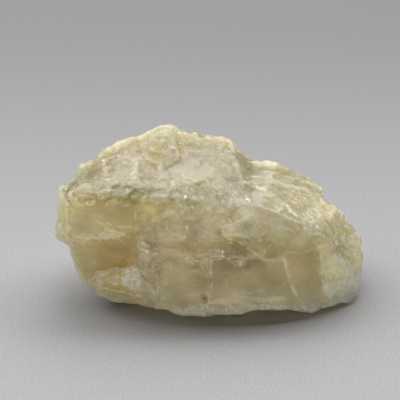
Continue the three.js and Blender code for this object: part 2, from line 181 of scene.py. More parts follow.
AREAS = {
    "face": [(-8.6, 2.6), (-6.5, 4.1), (-4.4, 4.7), (0.1, 4.3), (3.9, 4.7), (5.2, 6.4), (7.7, 6.2), (9.2, 5.0), (10.5, 6.7), (12.6, 7.8), (17.3, 8.2), (20.6, 6.8), (21.2, 2.8), (21.5, -0.5), (20.9, -3.0), (17.4, -4.7), (10.1, -4.1), (5.9, -4.6), (-1.8, -5.0), (-5.6, -4.8), (-8.2, -3.2)],
    "recess": [(-26.2, 7.5), (-20.9, 8.0), (-16.6, 8.4), (-13.7, 9.8), (-13.4, 3.6), (-15.5, 3.2), (-17.8, 3.0), (-20.2, 2.0), (-22.6, 0.6), (-24.3, 0.3), (-25.6, 2.6)],
    "band": [(-25.9, 16.0), (-14.6, 16.0), (-13.8, 10.9), (-18.9, 9.0), (-26.0, 8.5)],
    "slope": [(4.9, 13.5), (10.6, 14.1), (15.0, 11.4), (19.6, 9.7), (20.8, 7.0), (10.0, 5.2), (6.6, 8.6), (5.1, 11.1)],
    "under": [(-25.8, 3.8), (-24.3, 0.5), (-20.2, 2.0), (-17.5, 2.8), (-15.9, 1.5), (-16.3, -1.4), (-14.4, -2.8), (-15.6, -3.4), (-20.3, -3.0), (-23.1, -0.9), (-25.3, 0.1)],
    "crumb_rib": [(-13.1, 10.9), (-11.2, 11.7), (-9.3, 8.3), (-9.4, -3.3), (-12.1, -1.7), (-13.4, 2.5)],
    "crumb_mid": [(-13.1, 16.2), (-5.5, 15.8), (7.7, 14.7), (5.8, 9.4), (2.4, 7.3), (-0.8, 6.9), (-3.6, 7.1), (-6.5, 6.8), (-9.3, 7.5), (-11.6, 11.1)],
    "crumb_right": [(11.7, 16.6), (22.2, 16.2), (24.9, 14.6), (26.7, 12.7), (28.0, 10.3), (29.8, 8.0), (29.6, -1.5), (27.4, -3.6), (22.6, -3.9), (21.6, 3.9), (20.8, 8.5), (17.3, 10.5), (13.4, 13.1)],
    "calm_mid": [(-9.3, 7.1), (-4.6, 8.3), (3.0, 7.7), (4.3, 5.0), (0.5, 4.5), (-4.4, 4.7), (-8.9, 4.1)],
    "low_front": [(-11.2, 4.1), (-4.4, 5.2), (5.8, 7.1), (12.6, 8.2), (20.8, 7.4), (21.7, -1.5), (17.8, -7.7), (-5.7, -8.1), (-11.6, -6.2)],
    "low_left": [(-26.5, 3.6), (-19.0, 3.9), (-11.2, 4.1), (-11.3, -3.3), (-17.4, -4.6), (-23.3, -2.2)],
    "white": [(-17.0, 1.1), (-15.9, 2.4), (-13.8, 2.8), (-13.0, 2.1), (-12.6, -0.0), (-13.4, -2.0), (-15.1, -1.4), (-16.7, -0.4)],
    "stain": [(-21.6, 8.2), (-16.6, 8.6), (-13.5, 10.5), (-13.4, 3.2), (-15.5, 2.3), (-19.8, 2.7), (-22.1, 5.0)],
    "stain2": [(-25.5, 16.6), (-20.7, 15.8), (-14.6, 16.4), (-8.2, 15.8), (-9.3, 13.5), (-13.1, 9.8), (-14.2, 9.4), (-15.0, 14.7), (-22.7, 14.5)],
    "gold": [(-13.3, 22.7), (-11.4, 22.9), (-10.0, 22.0), (-10.2, 19.6), (-11.5, 18.9), (-13.0, 19.6)],
    "cream": [(-15.1, 23.1), (-13.6, 23.7), (-13.3, 22.0), (-13.4, 19.4), (-15.1, 19.4)],
    "green": [(-11.5, 25.5), (-9.5, 25.5), (-8.9, 23.9), (-9.5, 22.4), (-11.4, 23.1)],
    "ring": [(-7.2, 10.9), (-4.8, 11.1), (-4.0, 10.5), (-4.4, 9.0), (-5.5, 8.3), (-7.2, 8.4), (-7.8, 9.6)],
    "pale_right": [(21.9, -0.2), (23.5, -0.4), (24.5, -2.0), (23.4, -3.3), (21.9, -2.1)],
    "green_right": [(27.2, 1.8), (29.1, 0.2), (29.4, -1.1), (27.8, -0.1), (26.7, 1.1)],
    "dark_wedge": [(15.0, -1.0), (16.2, -1.4), (17.2, -4.5), (15.1, -4.5), (14.5, -2.9)],
    "pit": [(-1.2, -2.4), (-0.6, -2.6), (-0.6, -3.6), (-1.2, -3.8)],
    "dark_spot": [(-4.0, 1.4), (-1.0, 1.8), (-0.4, -1.3), (-2.5, -2.4), (-4.0, -1.3)],
    "pale_band": [(-25.9, 14.3), (-21.5, 14.7), (-17.3, 12.8), (-16.5, 11.5), (-19.6, 11.6), (-23.9, 12.8)],
    "crumb_edge": [(-11.2, 10.5), (-7.0, 10.9), (-6.3, 7.1), (-8.2, 4.1), (-10.8, 4.1), (-11.9, 7.5)],
    "crown_mid": [(-11.5, 27.5), (-2.5, 26.4), (3.3, 22.8), (2.8, 18.9), (-3.7, 17.3), (-9.8, 18.5)],
    "brow_strip": [(-28.6, 18.1), (-22.8, 18.5), (-15.1, 18.3), (-5.6, 17.7), (1.1, 15.8), (-1.8, 14.3), (-7.4, 14.7), (-13.1, 15.2), (-18.8, 15.2), (-27.6, 14.6)],
    "shoulder": [(8.9, 19.3), (15.9, 19.3), (23.7, 16.6), (26.0, 13.1), (21.0, 11.6), (16.6, 13.5), (10.0, 15.0)],
    "strip": [(-18.5, 18.9), (-13.2, 18.5), (-8.2, 18.1), (-1.8, 17.7), (-1.8, 16.2), (-8.2, 15.8), (-13.1, 16.6), (-18.4, 16.6)],
    "crown_low": [(-12.7, 20.4), (-3.7, 20.0), (2.8, 18.9), (5.9, 16.2), (0.5, 15.6), (-8.2, 16.4), (-13.1, 17.7)],
    "crown_left": [(-22.9, 25.2), (-19.0, 27.2), (-13.5, 27.2), (-12.6, 18.9), (-20.1, 18.5), (-24.2, 20.4)],
    "mid_pale": [(-8.2, 15.4), (-0.2, 15.8), (0.9, 11.6), (-3.3, 10.5), (-7.0, 11.7)],
    "face_left": [(-9.3, 4.5), (-4.4, 3.9), (-3.3, 0.3), (-4.4, -3.6), (-7.5, -4.5), (-9.6, -2.5)],
    "face_deep": [(0.5, 3.9), (5.8, 4.1), (10.0, 4.8), (13.6, 6.3), (14.6, 1.4), (15.4, -2.5), (10.1, -3.6), (0.9, -3.2)],
    "ledge_low": [(-9.7, 5.6), (-4.4, 5.6), (0.5, 5.8), (6.9, 6.4), (10.0, 5.2), (10.3, 3.3), (5.0, 3.5), (0.5, 3.3), (-4.4, 3.1), (-9.3, 2.7)],
    "under_step": [(0.3, 4.5), (7.3, 5.2), (10.0, 4.8), (10.0, 3.3), (5.1, 2.6), (0.5, 2.8)],
    "rim": [(-9.4, -4.1), (-5.2, -4.7), (-2.1, -4.0), (1.1, -4.7), (5.9, -4.4), (10.1, -3.9), (13.5, -4.4), (17.4, -4.3), (19.8, -4.4), (23.4, -3.4), (27.4, -3.2), (28.0, -4.6), (19.8, -6.5), (11.3, -5.5), (1.2, -7.3), (-5.3, -7.5), (-9.6, -6.0)],
    "toe_pale": [(23.7, 1.9), (26.5, 2.6), (29.8, 1.3), (29.8, -1.8), (28.8, -4.4), (24.2, -4.5), (23.3, -1.6)],
    "ochre": [(-26.2, 18.1), (-24.0, 18.5), (-22.3, 17.3), (-21.1, 16.0), (-22.3, 15.0), (-24.7, 15.2), (-25.9, 16.2)],
    "brow_left": [(-28.4, 18.9), (-25.0, 20.1), (-21.7, 19.4), (-18.5, 18.3), (-18.4, 16.8), (-27.6, 16.2)],
    "crown_dip": [(-4.8, 20.4), (0.9, 20.2), (2.8, 17.7), (0.9, 16.2), (-4.0, 16.4)],
    "band_top": [(-19.9, 16.4), (-11.2, 16.6), (-10.8, 13.2), (-15.0, 12.8), (-19.6, 13.5)],
    "mid_right": [(1.3, 14.3), (10.0, 14.7), (11.9, 11.6), (10.0, 9.0), (5.1, 9.0), (1.6, 10.9)],
}
HAIRS = [
    # how strong, how wide, and the way it runs
    (0.55, 0.15, [(-26.4, 14.8), (-26.3, 12.9), (-26.5, 10.8), (-26.5, 8.1)]),
    (0.60, 0.17, [(-24.7, 14.8), (-23.5, 15.0), (-22.3, 15.1), (-21.3, 15.6)]),
    (0.35, 0.19, [(-25.9, 16.4), (-24.6, 16.8), (-23.1, 16.6), (-21.7, 16.2)]),
    (0.40, 0.19, [(-26.1, 13.9), (-24.7, 13.7), (-23.1, 13.0), (-21.9, 12.6)]),
    (0.35, 0.19, [(-21.9, 12.0), (-20.9, 11.5), (-19.9, 11.1)]),
    (0.50, 0.13, [(-19.9, 10.9), (-19.4, 11.3), (-18.6, 11.1), (-18.2, 10.5), (-18.6, 10.1)]),
    (0.35, 0.13, [(-19.6, 10.3), (-19.0, 10.0)]),
    (0.55, 0.17, [(-22.5, 8.9), (-21.2, 8.5), (-19.7, 8.5), (-18.1, 8.7), (-16.8, 9.1), (-15.6, 9.5)]),
    (0.30, 0.13, [(-26.2, 8.4), (-24.8, 8.6), (-23.1, 8.6)]),
    (0.45, 0.11, [(-21.5, 7.9), (-20.3, 8.0)]),
    (0.45, 0.11, [(-21.1, 7.3), (-20.1, 7.4)]),
    (0.40, 0.11, [(-19.5, 7.6), (-18.5, 7.2)]),
    (0.50, 0.19, [(-26.6, 7.9), (-26.3, 7.1), (-25.9, 6.7)]),
    (0.45, 0.13, [(-19.0, 2.7), (-17.9, 2.8), (-16.9, 2.4), (-15.7, 2.3)]),
    (0.55, 0.15, [(-23.2, 0.1), (-22.2, 0.8), (-21.2, 1.3), (-20.2, 1.5), (-19.4, 1.4)]),
    (0.45, 0.13, [(-21.6, 1.9), (-20.4, 2.2)]),
    (0.75, 0.17, [(-19.4, 0.5), (-18.6, 0.0), (-17.6, -0.3), (-16.9, 0.1)]),
    (0.60, 0.15, [(-18.4, -0.5), (-17.5, -0.4)]),
    (0.45, 0.15, [(-14.2, -1.2), (-14.0, -2.2), (-13.4, -2.9), (-12.3, -2.5)]),
    (0.50, 0.15, [(-13.2, -1.2), (-12.0, -1.3), (-10.9, -1.9), (-9.6, -2.1)]),
    (0.40, 0.13, [(-12.2, 2.1), (-11.2, 2.5), (-10.5, 3.3)]),
    (0.40, 0.15, [(-12.8, 0.4), (-11.6, 0.6), (-10.5, 0.2)]),
    (0.40, 0.13, [(-12.4, -0.6), (-11.3, -0.7), (-10.1, -0.3)]),
    (0.45, 0.15, [(-14.2, 13.2), (-13.8, 12.2), (-13.7, 11.1), (-13.5, 10.5)]),
    (0.35, 0.15, [(-27.6, 13.3), (-28.0, 12.1), (-28.5, 10.8)]),
    (0.45, 0.17, [(-12.3, 7.5), (-11.8, 7.1), (-11.0, 7.3)]),
    (0.40, 0.15, [(-11.2, 6.6), (-9.9, 6.6), (-9.1, 6.2)]),
    (0.50, 0.17, [(-9.3, 5.0), (-9.9, 4.3), (-9.5, 3.7)]),
    (0.50, 0.19, [(-9.1, 4.1), (-9.7, 2.9), (-9.9, 1.6), (-9.7, 0.4), (-9.9, -0.9), (-9.7, -1.9)]),
    (0.35, 0.15, [(-10.6, 4.1), (-10.8, 2.5), (-10.3, 1.4), (-10.7, -0.2)]),
    (0.40, 0.13, [(-11.8, 4.8), (-12.0, 3.3), (-11.6, 2.2)]),
    (0.45, 0.17, [(-10.6, 14.1), (-10.4, 13.0), (-10.6, 11.8)]),
    (0.50, 0.17, [(-10.8, 11.3), (-10.1, 10.9), (-9.7, 10.5)]),
    (0.40, 0.15, [(-11.2, 9.4), (-11.0, 8.6), (-10.4, 8.1)]),
    (0.40, 0.15, [(-9.7, 13.9), (-9.9, 12.8)]),
    (0.45, 0.15, [(-8.8, 15.6), (-7.8, 15.8)]),
    (0.45, 0.15, [(-7.4, 11.3), (-6.9, 10.9), (-7.2, 10.3)]),
    (0.40, 0.13, [(-7.2, 9.8), (-6.5, 9.4)]),
    (0.45, 0.13, [(-7.4, 8.8), (-6.5, 8.4), (-5.5, 8.3)]),
    (0.60, 0.15, [(-5.5, 8.3), (-4.8, 8.5), (-4.4, 9.6), (-4.1, 10.3), (-4.6, 10.9)]),
    (0.40, 0.13, [(-6.3, 9.0), (-5.3, 9.0)]),
    (0.60, 0.17, [(-3.5, 14.3), (-2.9, 14.6), (-2.1, 14.7)]),
    (0.50, 0.17, [(-5.9, 12.4), (-5.5, 12.9)]),
    (0.50, 0.15, [(-1.8, 11.9), (-1.0, 11.6), (-0.2, 11.6), (0.3, 12.0)]),
    (0.55, 0.15, [(0.3, 14.1), (0.4, 13.5), (0.1, 13.0)]),
    (0.50, 0.15, [(4.1, 15.8), (4.1, 14.9), (3.4, 14.1), (3.2, 13.5)]),
    (0.50, 0.17, [(2.4, 12.6), (3.4, 12.5), (3.9, 12.0), (3.9, 11.3)]),
    (0.60, 0.17, [(2.0, 9.4), (3.0, 8.9), (4.1, 8.3), (5.2, 8.1), (6.0, 7.6), (6.7, 6.9)]),
    (0.45, 0.15, [(6.6, 8.8), (7.7, 8.4), (8.1, 7.9)]),
    (0.50, 0.17, [(7.7, 6.4), (8.4, 5.8), (9.4, 5.2), (10.3, 5.2), (10.5, 6.2), (10.7, 6.9), (11.7, 7.2), (12.4, 7.7)]),
    (0.50, 0.15, [(-0.4, 8.3), (0.3, 8.0), (1.3, 7.9), (2.0, 8.2)]),
    (0.70, 0.13, [(2.5, 6.6), (2.5, 5.8), (2.6, 5.0)]),
    (0.45, 0.11, [(2.0, 6.1), (3.5, 6.0)]),
    (0.40, 0.11, [(2.0, 5.0), (3.1, 5.0)]),
    (0.50, 0.15, [(3.5, 4.7), (4.7, 4.8), (5.0, 5.6)]),
    (0.45, 0.15, [(0.1, 4.5), (1.3, 4.5), (2.6, 4.6), (3.7, 4.7)]),
    (0.70, 0.15, [(0.2, 5.2), (0.3, 4.1), (0.3, 2.6), (0.5, 1.2)]),
    (0.40, 0.13, [(0.5, 2.0), (0.9, 1.2)]),
    (0.40, 0.13, [(-4.8, 4.9), (-3.6, 4.8), (-2.3, 4.9)]),
    (0.60, 0.21, [(-2.7, 4.3), (-2.1, 4.3)]),
    (0.22, 0.23, [(-5.5, 1.8), (-4.8, 2.3), (-3.7, 2.3), (-2.3, 2.6), (-1.0, 1.6), (0.3, 1.2)]),
    (0.45, 0.15, [(-1.6, 3.7), (-1.2, 2.6), (-0.4, 1.4)]),
    (0.25, 0.13, [(-6.5, 0.3), (-5.9, 0.6), (-5.6, 0.3), (-5.9, -0.2)]),
    (0.60, 0.11, [(-3.3, -0.4), (-1.8, -0.4)]),
    (0.45, 0.17, [(-0.2, -2.0), (-0.0, -2.8), (-0.2, -3.4)]),
    (0.40, 0.17, [(0.5, 0.1), (0.3, -1.3), (0.5, -2.4)]),
    (0.40, 0.15, [(-5.0, 7.1), (-4.6, 6.6), (-4.6, 5.6)]),
    (0.45, 0.13, [(-6.3, 5.0), (-5.3, 5.4), (-4.2, 5.0), (-4.4, 4.1)]),
    (0.40, 0.15, [(-7.2, 3.7), (-7.1, 2.6)]),
    (0.35, 0.15, [(3.2, 0.1), (3.4, -0.7)]),
    (0.35, 0.17, [(5.8, 4.1), (6.0, 2.6)]),
    (0.30, 0.15, [(12.6, 8.2), (13.0, 6.9), (13.2, 5.2)]),
    (0.42, 0.41, [(14.2, 5.2), (14.5, 3.3), (15.2, 1.2), (15.8, -0.8), (16.8, -2.7), (18.0, -4.5)]),
    (0.60, 0.17, [(20.8, 6.8), (21.2, 7.6)]),
    (0.50, 0.17, [(21.2, 6.0), (21.4, 4.3), (21.7, 2.6)]),
    (0.70, 0.25, [(21.9, 2.4), (22.3, 1.8), (22.5, 1.0)]),
    (0.60, 0.21, [(21.9, 0.4), (22.5, -0.8), (23.1, -1.7)]),
    (0.70, 0.26, [(22.7, -1.9), (23.5, -1.9), (24.3, -1.8)]),
    (0.60, 0.23, [(23.1, -2.9), (23.9, -2.9)]),
    (0.60, 0.19, [(11.1, -4.5), (11.6, -3.8), (12.2, -3.2)]),
    (0.40, 0.15, [(13.7, -0.8), (14.2, -0.2), (14.6, 0.6)]),
    (0.45, 0.13, [(16.1, 2.9), (16.5, 2.5), (17.1, 2.5)]),
    (0.40, 0.15, [(17.2, 5.5), (18.2, 5.9), (19.0, 6.1)]),
    (0.40, 0.15, [(14.5, 6.1), (15.7, 5.8), (16.9, 5.9)]),
    (0.40, 0.15, [(19.6, 3.0), (20.4, 3.6)]),
    (0.35, 0.15, [(10.2, 12.2), (10.6, 11.3), (11.1, 10.9)]),
    (0.35, 0.15, [(9.0, 12.0), (9.4, 11.4)]),
    (0.40, 0.15, [(13.8, 8.6), (14.0, 7.8)]),
    (0.45, 0.17, [(10.1, 15.8), (11.6, 15.6)]),
    (0.65, 0.23, [(7.0, 16.4), (7.8, 15.8), (7.2, 14.9)]),
    (0.50, 0.19, [(15.4, 13.7), (16.4, 13.1), (17.4, 12.6), (18.1, 12.2)]),
    (0.55, 0.19, [(17.7, 11.6), (18.9, 11.6), (19.9, 11.4)]),
    (0.70, 0.23, [(19.4, 12.7), (19.9, 11.8), (20.7, 10.8), (21.5, 10.6)]),
    (0.60, 0.19, [(19.9, 10.6), (21.1, 10.2), (22.4, 10.0)]),
    (0.50, 0.19, [(17.8, 10.3), (18.8, 10.5)]),
    (0.50, 0.19, [(22.5, 11.5), (22.8, 10.6), (23.0, 9.2)]),
    (0.45, 0.15, [(16.9, 14.8), (17.3, 14.3)]),
    (0.50, 0.17, [(20.6, 14.3), (21.2, 14.6)]),
    (0.40, 0.17, [(22.1, 7.9), (22.7, 7.0), (22.3, 6.6)]),
    (0.60, 0.13, [(24.0, 6.5), (24.1, 5.8)]),
    (0.60, 0.13, [(27.7, 7.8), (28.8, 7.8)]),
    (0.60, 0.13, [(27.7, 7.1), (28.5, 7.0)]),
    (0.55, 0.15, [(26.4, 6.7), (27.4, 6.7)]),
    (0.60, 0.15, [(27.6, 5.9), (28.3, 5.1), (28.9, 4.9)]),
    (0.50, 0.15, [(25.2, 3.7), (26.5, 3.4)]),
    (0.50, 0.15, [(26.5, 4.4), (27.2, 3.6)]),
    (0.60, 0.15, [(24.5, 1.0), (25.5, 0.4)]),
    (0.85, 0.21, [(26.5, 1.1), (27.2, 0.5), (28.0, -0.2), (28.5, -0.8)]),
    (0.60, 0.17, [(28.9, -0.9), (29.1, -1.4)]),
    (0.50, 0.15, [(27.8, 2.2), (28.3, 1.4)]),
    (0.45, 0.15, [(26.1, -1.6), (27.0, -1.9)]),
    (0.45, 0.17, [(24.0, 3.5), (24.6, 3.9)]),
    (0.50, 0.21, [(-20.7, 16.0), (-19.6, 16.6), (-18.4, 16.4)]),
    (0.50, 0.19, [(-20.2, 17.3), (-18.9, 17.7), (-17.3, 17.5)]),
    (0.60, 0.21, [(-15.7, 22.9), (-14.5, 23.5), (-13.2, 24.1)]),
    (0.60, 0.21, [(-15.0, 20.6), (-14.2, 21.6), (-13.9, 22.7)]),
    (0.50, 0.17, [(-13.2, 25.1), (-12.2, 24.1), (-11.6, 22.9)]),
    (0.55, 0.17, [(-13.2, 19.2), (-12.1, 19.4), (-11.3, 18.9)]),
    (0.45, 0.17, [(-21.1, 20.0), (-19.9, 19.6), (-19.0, 19.8)]),
    (0.45, 0.17, [(-18.1, 22.0), (-17.2, 22.8), (-16.2, 23.0)]),
    (0.50, 0.17, [(-16.7, 20.0), (-15.7, 19.6), (-15.1, 18.9)]),
    (0.45, 0.17, [(-10.4, 20.4), (-9.4, 19.8), (-8.7, 20.2)]),
    (0.50, 0.17, [(-5.4, 21.0), (-4.8, 20.2), (-5.0, 19.4)]),
    (0.50, 0.17, [(-0.8, 20.0), (-0.2, 19.3)]),
    (0.50, 0.19, [(-4.9, 25.6), (-3.7, 25.2), (-2.3, 25.4), (-0.6, 24.8)]),
    (0.45, 0.17, [(-8.0, 26.5), (-6.8, 25.7), (-5.7, 26.0)]),
    (0.55, 0.19, [(5.2, 19.5), (6.5, 19.1), (7.8, 19.3)]),
    (0.50, 0.17, [(6.0, 20.5), (7.4, 20.1), (8.8, 20.5), (10.3, 20.1)]),
    (0.60, 0.19, [(8.7, 18.9), (9.5, 18.1), (10.6, 17.9), (11.8, 18.1)]),
    (0.55, 0.17, [(10.2, 17.2), (11.3, 16.6), (12.7, 16.8)]),
    (0.60, 0.19, [(13.0, 17.9), (13.7, 17.4), (14.9, 17.4)]),
    (0.50, 0.17, [(15.9, 18.9), (17.1, 18.4), (18.5, 18.2), (19.7, 17.8)]),
    (0.50, 0.17, [(18.4, 17.0), (19.6, 16.6), (21.0, 16.0)]),
    (0.45, 0.17, [(7.4, 23.5), (8.6, 23.2), (9.6, 23.6)]),
    (0.45, 0.17, [(11.2, 21.5), (12.6, 21.1), (14.2, 21.3)]),
    (0.45, 0.17, [(15.2, 20.5), (16.4, 20.1), (17.8, 20.2)]),
    (0.40, 0.15, [(1.0, 23.0), (2.1, 22.4), (3.5, 22.6)]),
    (0.40, 0.15, [(-2.3, 22.6), (-1.2, 22.0)]),
    (0.45, 0.15, [(1.3, 17.9), (2.4, 17.3), (3.2, 17.7)]),
    (0.45, 0.15, [(4.4, 17.7), (5.3, 17.1)]),
]
FLECKS = [
    # x, height, radius, how bright: partly white crumbs, partly painted glints
    (-4.6, 16.4, 0.30, 0.9), (-3.2, 14.5, 0.30, 0.8), (2.1, 17.1, 0.26, 0.8), (0.3, 13.5, 0.23, 0.8),
    (-4.2, 10.7, 0.30, 0.9), (14.8, 14.9, 0.32, 0.9), (14.2, 15.4, 0.26, 0.7), (19.6, 12.5, 0.30, 0.9),
    (20.7, 10.8, 0.28, 0.8), (19.1, 13.5, 0.28, 0.6), (16.0, 17.4, 0.23, 0.7), (22.4, 17.0, 0.23, 1.0),
    (22.5, 17.8, 0.19, 0.8), (21.0, 7.0, 0.25, 0.9), (26.9, 6.7, 0.23, 0.8), (24.1, 6.5, 0.17, 0.8),
    (28.9, -1.0, 0.19, 0.8), (-16.3, 0.7, 0.30, 0.8), (-15.3, -0.6, 0.34, 0.9), (-16.3, -0.8, 0.30, 0.8),
    (-14.5, -0.6, 0.26, 0.7), (-13.4, -2.8, 0.23, 0.6), (23.7, -2.0, 0.30, 0.8), (22.5, 1.8, 0.26, 0.7),
    (0.5, 1.4, 0.21, 0.8), (2.6, 5.2, 0.19, 0.8), (-10.6, 13.5, 0.23, 0.6), (-10.1, 10.8, 0.25, 0.7),
    (-11.2, 9.4, 0.21, 0.6), (-2.3, 4.3, 0.23, 0.7), (-17.7, 24.3, 0.25, 0.7), (-20.2, 20.0, 0.23, 0.6),
    (-22.5, 15.3, 0.21, 0.6), (-25.9, 17.1, 0.21, 0.6), (-25.0, 16.4, 0.21, 0.6), (-7.4, 15.6, 0.25, 0.6),
    (4.0, 18.9, 0.25, 0.7), (7.4, 16.0, 0.34, 0.8), (18.9, 18.0, 0.23, 0.6), (26.3, 13.3, 0.25, 0.8),
    (25.9, 14.0, 0.23, 0.7), (24.9, 14.6, 0.25, 0.7), (23.7, 15.0, 0.23, 0.6), (26.8, 10.7, 0.25, 0.8),
    (26.5, 9.6, 0.19, 0.5), (-26.5, 7.3, 0.25, 0.7), (-3.3, 29.3, 0.26, 0.5), (-2.4, 29.1, 0.28, 0.55),
    (-1.0, 28.6, 0.26, 0.55), (0.4, 28.3, 0.26, 0.5), (2.0, 28.2, 0.24, 0.5), (3.7, 27.8, 0.26, 0.6),
    (-11.2, 30.1, 0.28, 0.6), (-27.7, 17.9, 0.25, 0.7), (11.1, -4.5, 0.19, 0.6), (-1.0, 11.6, 0.19, 0.5),
    (3.9, 11.6, 0.23, 0.7), (3.2, 14.1, 0.19, 0.6), (-11.9, 7.3, 0.25, 0.6), (-11.0, 7.3, 0.19, 0.5),
    (-12.2, 2.9, 0.21, 0.6), (-9.3, 4.1, 0.21, 0.6), (-9.9, -1.7, 0.26, 0.7), (0.1, -4.2, 0.23, 0.5),
    (-2.3, -4.4, 0.28, 0.6), (12.3, 19.1, 0.23, 0.6), (9.5, 18.3, 0.26, 0.6), (17.5, 14.5, 0.23, 0.5),
    (20.8, 14.4, 0.21, 0.6), (23.1, 7.9, 0.28, 0.6),
]
SPECKS = [
    # x, height, radius, how dark
    (-26.9, 15.6, 0.21, 0.80), (-27.0, 14.3, 0.15, 0.60), (-26.7, 16.6, 0.17, 0.50), (-0.8, -3.0, 0.28, 0.80),
    (6.6, 6.9, 0.17, 0.80), (-12.8, 7.1, 0.17, 0.70), (-12.7, 6.0, 0.17, 0.60), (-12.6, 5.0, 0.17, 0.60),
    (-11.4, 6.9, 0.15, 0.60), (-14.9, 2.7, 0.21, 0.80), (-13.7, 3.6, 0.23, 0.50), (-17.1, 2.0, 0.26, 0.50),
    (-14.2, 15.4, 0.15, 0.50), (-11.3, -2.7, 0.30, 0.40), (-2.5, 0.7, 0.41, 0.25), (11.2, -3.9, 0.21, 0.60),
    (19.0, 17.6, 0.15, 0.30), (-16.6, 8.8, 0.15, 0.40), (15.8, -2.5, 0.38, 0.30), (-18.8, 10.9, 0.19, 0.40),
    (-9.3, 15.0, 0.15, 0.30),
]

# ---------------------------------------------------------------------------------------
# Fields on a grid.  A field is negative inside the stone.  Everything here is in the
# millimetres of the tables above, and is brought to the CAD box at the end.
# ---------------------------------------------------------------------------------------
ALL = np.array([p for pts in MASSES.values() for p in pts], float)
RAW_LO, RAW_HI = ALL.min(0), ALL.max(0)
RAW_LO[2] = 0.0
NODE_LO, NODE_HI = (np.array(c) * 1000.0 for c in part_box(NODE))
SCALE = (NODE_HI - NODE_LO) / (RAW_HI - RAW_LO)


def to_model(p):
    """Table millimetres to the row frame, in metres."""
    return ((np.asarray(p, float) - RAW_LO) * SCALE + NODE_LO) / 1000.0


TILT = math.radians(24.0)  # the front is drawn in a plane leaning back by this much
UP = np.array([0.0, math.sin(TILT), math.cos(TILT)])
INTO = np.array([0.0, math.cos(TILT), -math.sin(TILT)])


def hull_planes(points):
    """Outward unit normals and offsets of the convex hull of a few points."""
    p = np.asarray(points, float)
    n = len(p)
    i, j, k = np.array([(a, b, c) for a in range(n) for b in range(a + 1, n) for c in range(b + 1, n)]).T
    nor = np.cross(p[j] - p[i], p[k] - p[i])
    size = np.linalg.norm(nor, axis=1)
    good = size > 1e-6
    nor, i = nor[good] / size[good, None], i[good]
    off = (nor * p[i]).sum(1)
    side = nor @ p.T - off[:, None]
    up, down = side.max(1) < 1e-6, side.min(1) > -1e-6
    nor = np.concatenate([nor[up], -nor[down]])
    off = np.concatenate([off[up], -off[down]])
    key = np.round(np.column_stack([nor, off]), 4)
    _, first = np.unique(key, axis=0, return_index=True)
    return nor[np.sort(first)], off[np.sort(first)]


class Grid:
    def __init__(self, lo, hi, h):
        self.h = h
        self.lo = np.asarray(lo, float)
        self.n = tuple(int(math.ceil((b - a) / h)) + 1 for a, b in zip(lo, hi))
        self.x, self.y, self.z = (self.lo[a] + h * np.arange(self.n[a]) for a in range(3))
        self.x, self.y, self.z = (c.astype(np.float32) for c in (self.x, self.y, self.z))

    def convex(self, planes):
        nor, off = planes
        f = np.full(self.n, -1e3, np.float32)
        for (a, b, c), d in zip(nor.astype(np.float32), off.astype(np.float32)):
            yz = (b * self.y)[:, None] + (c * self.z - d)[None, :]
            np.maximum(f, (a * self.x)[:, None, None] + yz[None], out=f)
        return f

    def window(self, centre, half):
        """Slices of the grid round a point, and the coordinates there."""
        s = []
        for a in range(3):
            i0 = max(0, int((centre[a] - half - self.lo[a]) / self.h))
            i1 = min(self.n[a], int((centre[a] + half - self.lo[a]) / self.h) + 2)
            s.append(slice(i0, max(i0, i1)))
        s = tuple(s)
        return s, self.x[s[0]][:, None, None], self.y[s[1]][None, :, None], self.z[s[2]][None, None, :]

    def points(self, mask):
        i, j, k = np.nonzero(mask)
        return np.column_stack([self.x[i], self.y[j], self.z[k]])

    def sample(self, f, p):
        """Trilinear value of a field at points."""
        q = (np.asarray(p, float) - self.lo) / self.h
        q = np.clip(q, 0, np.array(self.n) - 1.001)
        i = q.astype(int)
        t = q - i
        out = np.zeros(len(q))
        for a in (0, 1):
            for b in (0, 1):
                for c in (0, 1):
                    w = (t[:, 0] if a else 1 - t[:, 0]) * (t[:, 1] if b else 1 - t[:, 1]) * (t[:, 2] if c else 1 - t[:, 2])
                    out += w * f[i[:, 0] + a, i[:, 1] + b, i[:, 2] + c]
        return out


def smooth_min(a, b, k):
    h = np.clip(0.5 + 0.5 * (b - a) / k, 0.0, 1.0)
    return b + (a - b) * h - k * h * (1.0 - h)


def smoothstep(lo, hi, x):
    t = np.clip((x - lo) / (hi - lo), 0.0, 1.0)
    return t * t * (3.0 - 2.0 * t)


def blur(f, sigma):
    """Gaussian blur of a grid field, sigma in cells."""
    r = max(1, int(3 * sigma))
    k = np.exp(-0.5 * (np.arange(-r, r + 1) / sigma) ** 2)
    k = (k / k.sum()).astype(np.float32)
    for axis in range(3):
        p = np.pad(f, [(r, r) if a == axis else (0, 0) for a in range(3)], mode="edge")
        out = np.zeros_like(f)
        n = f.shape[axis]
        for t, w in enumerate(k):
            s = [slice(None)] * 3
            s[axis] = slice(t, t + n)
            out += w * p[tuple(s)]
        f = out
    return f


# Gradient noise in three dimensions, from an integer hash, so that it is the same each run.
def _hash(i, j, k, seed):
    h = (i * 374761393 + j * 668265263 + k * 2147483647 + seed * 1274126177) & 0xFFFFFFFF
    h = ((h ^ (h >> 13)) * 1274126177) & 0xFFFFFFFF
    h = ((h ^ (h >> 16)) * 2246822519) & 0xFFFFFFFF
    return h ^ (h >> 15)


_G = np.random.default_rng(5).normal(size=(256, 3))
_G = (_G / np.linalg.norm(_G, axis=1)[:, None]).astype(np.float32)


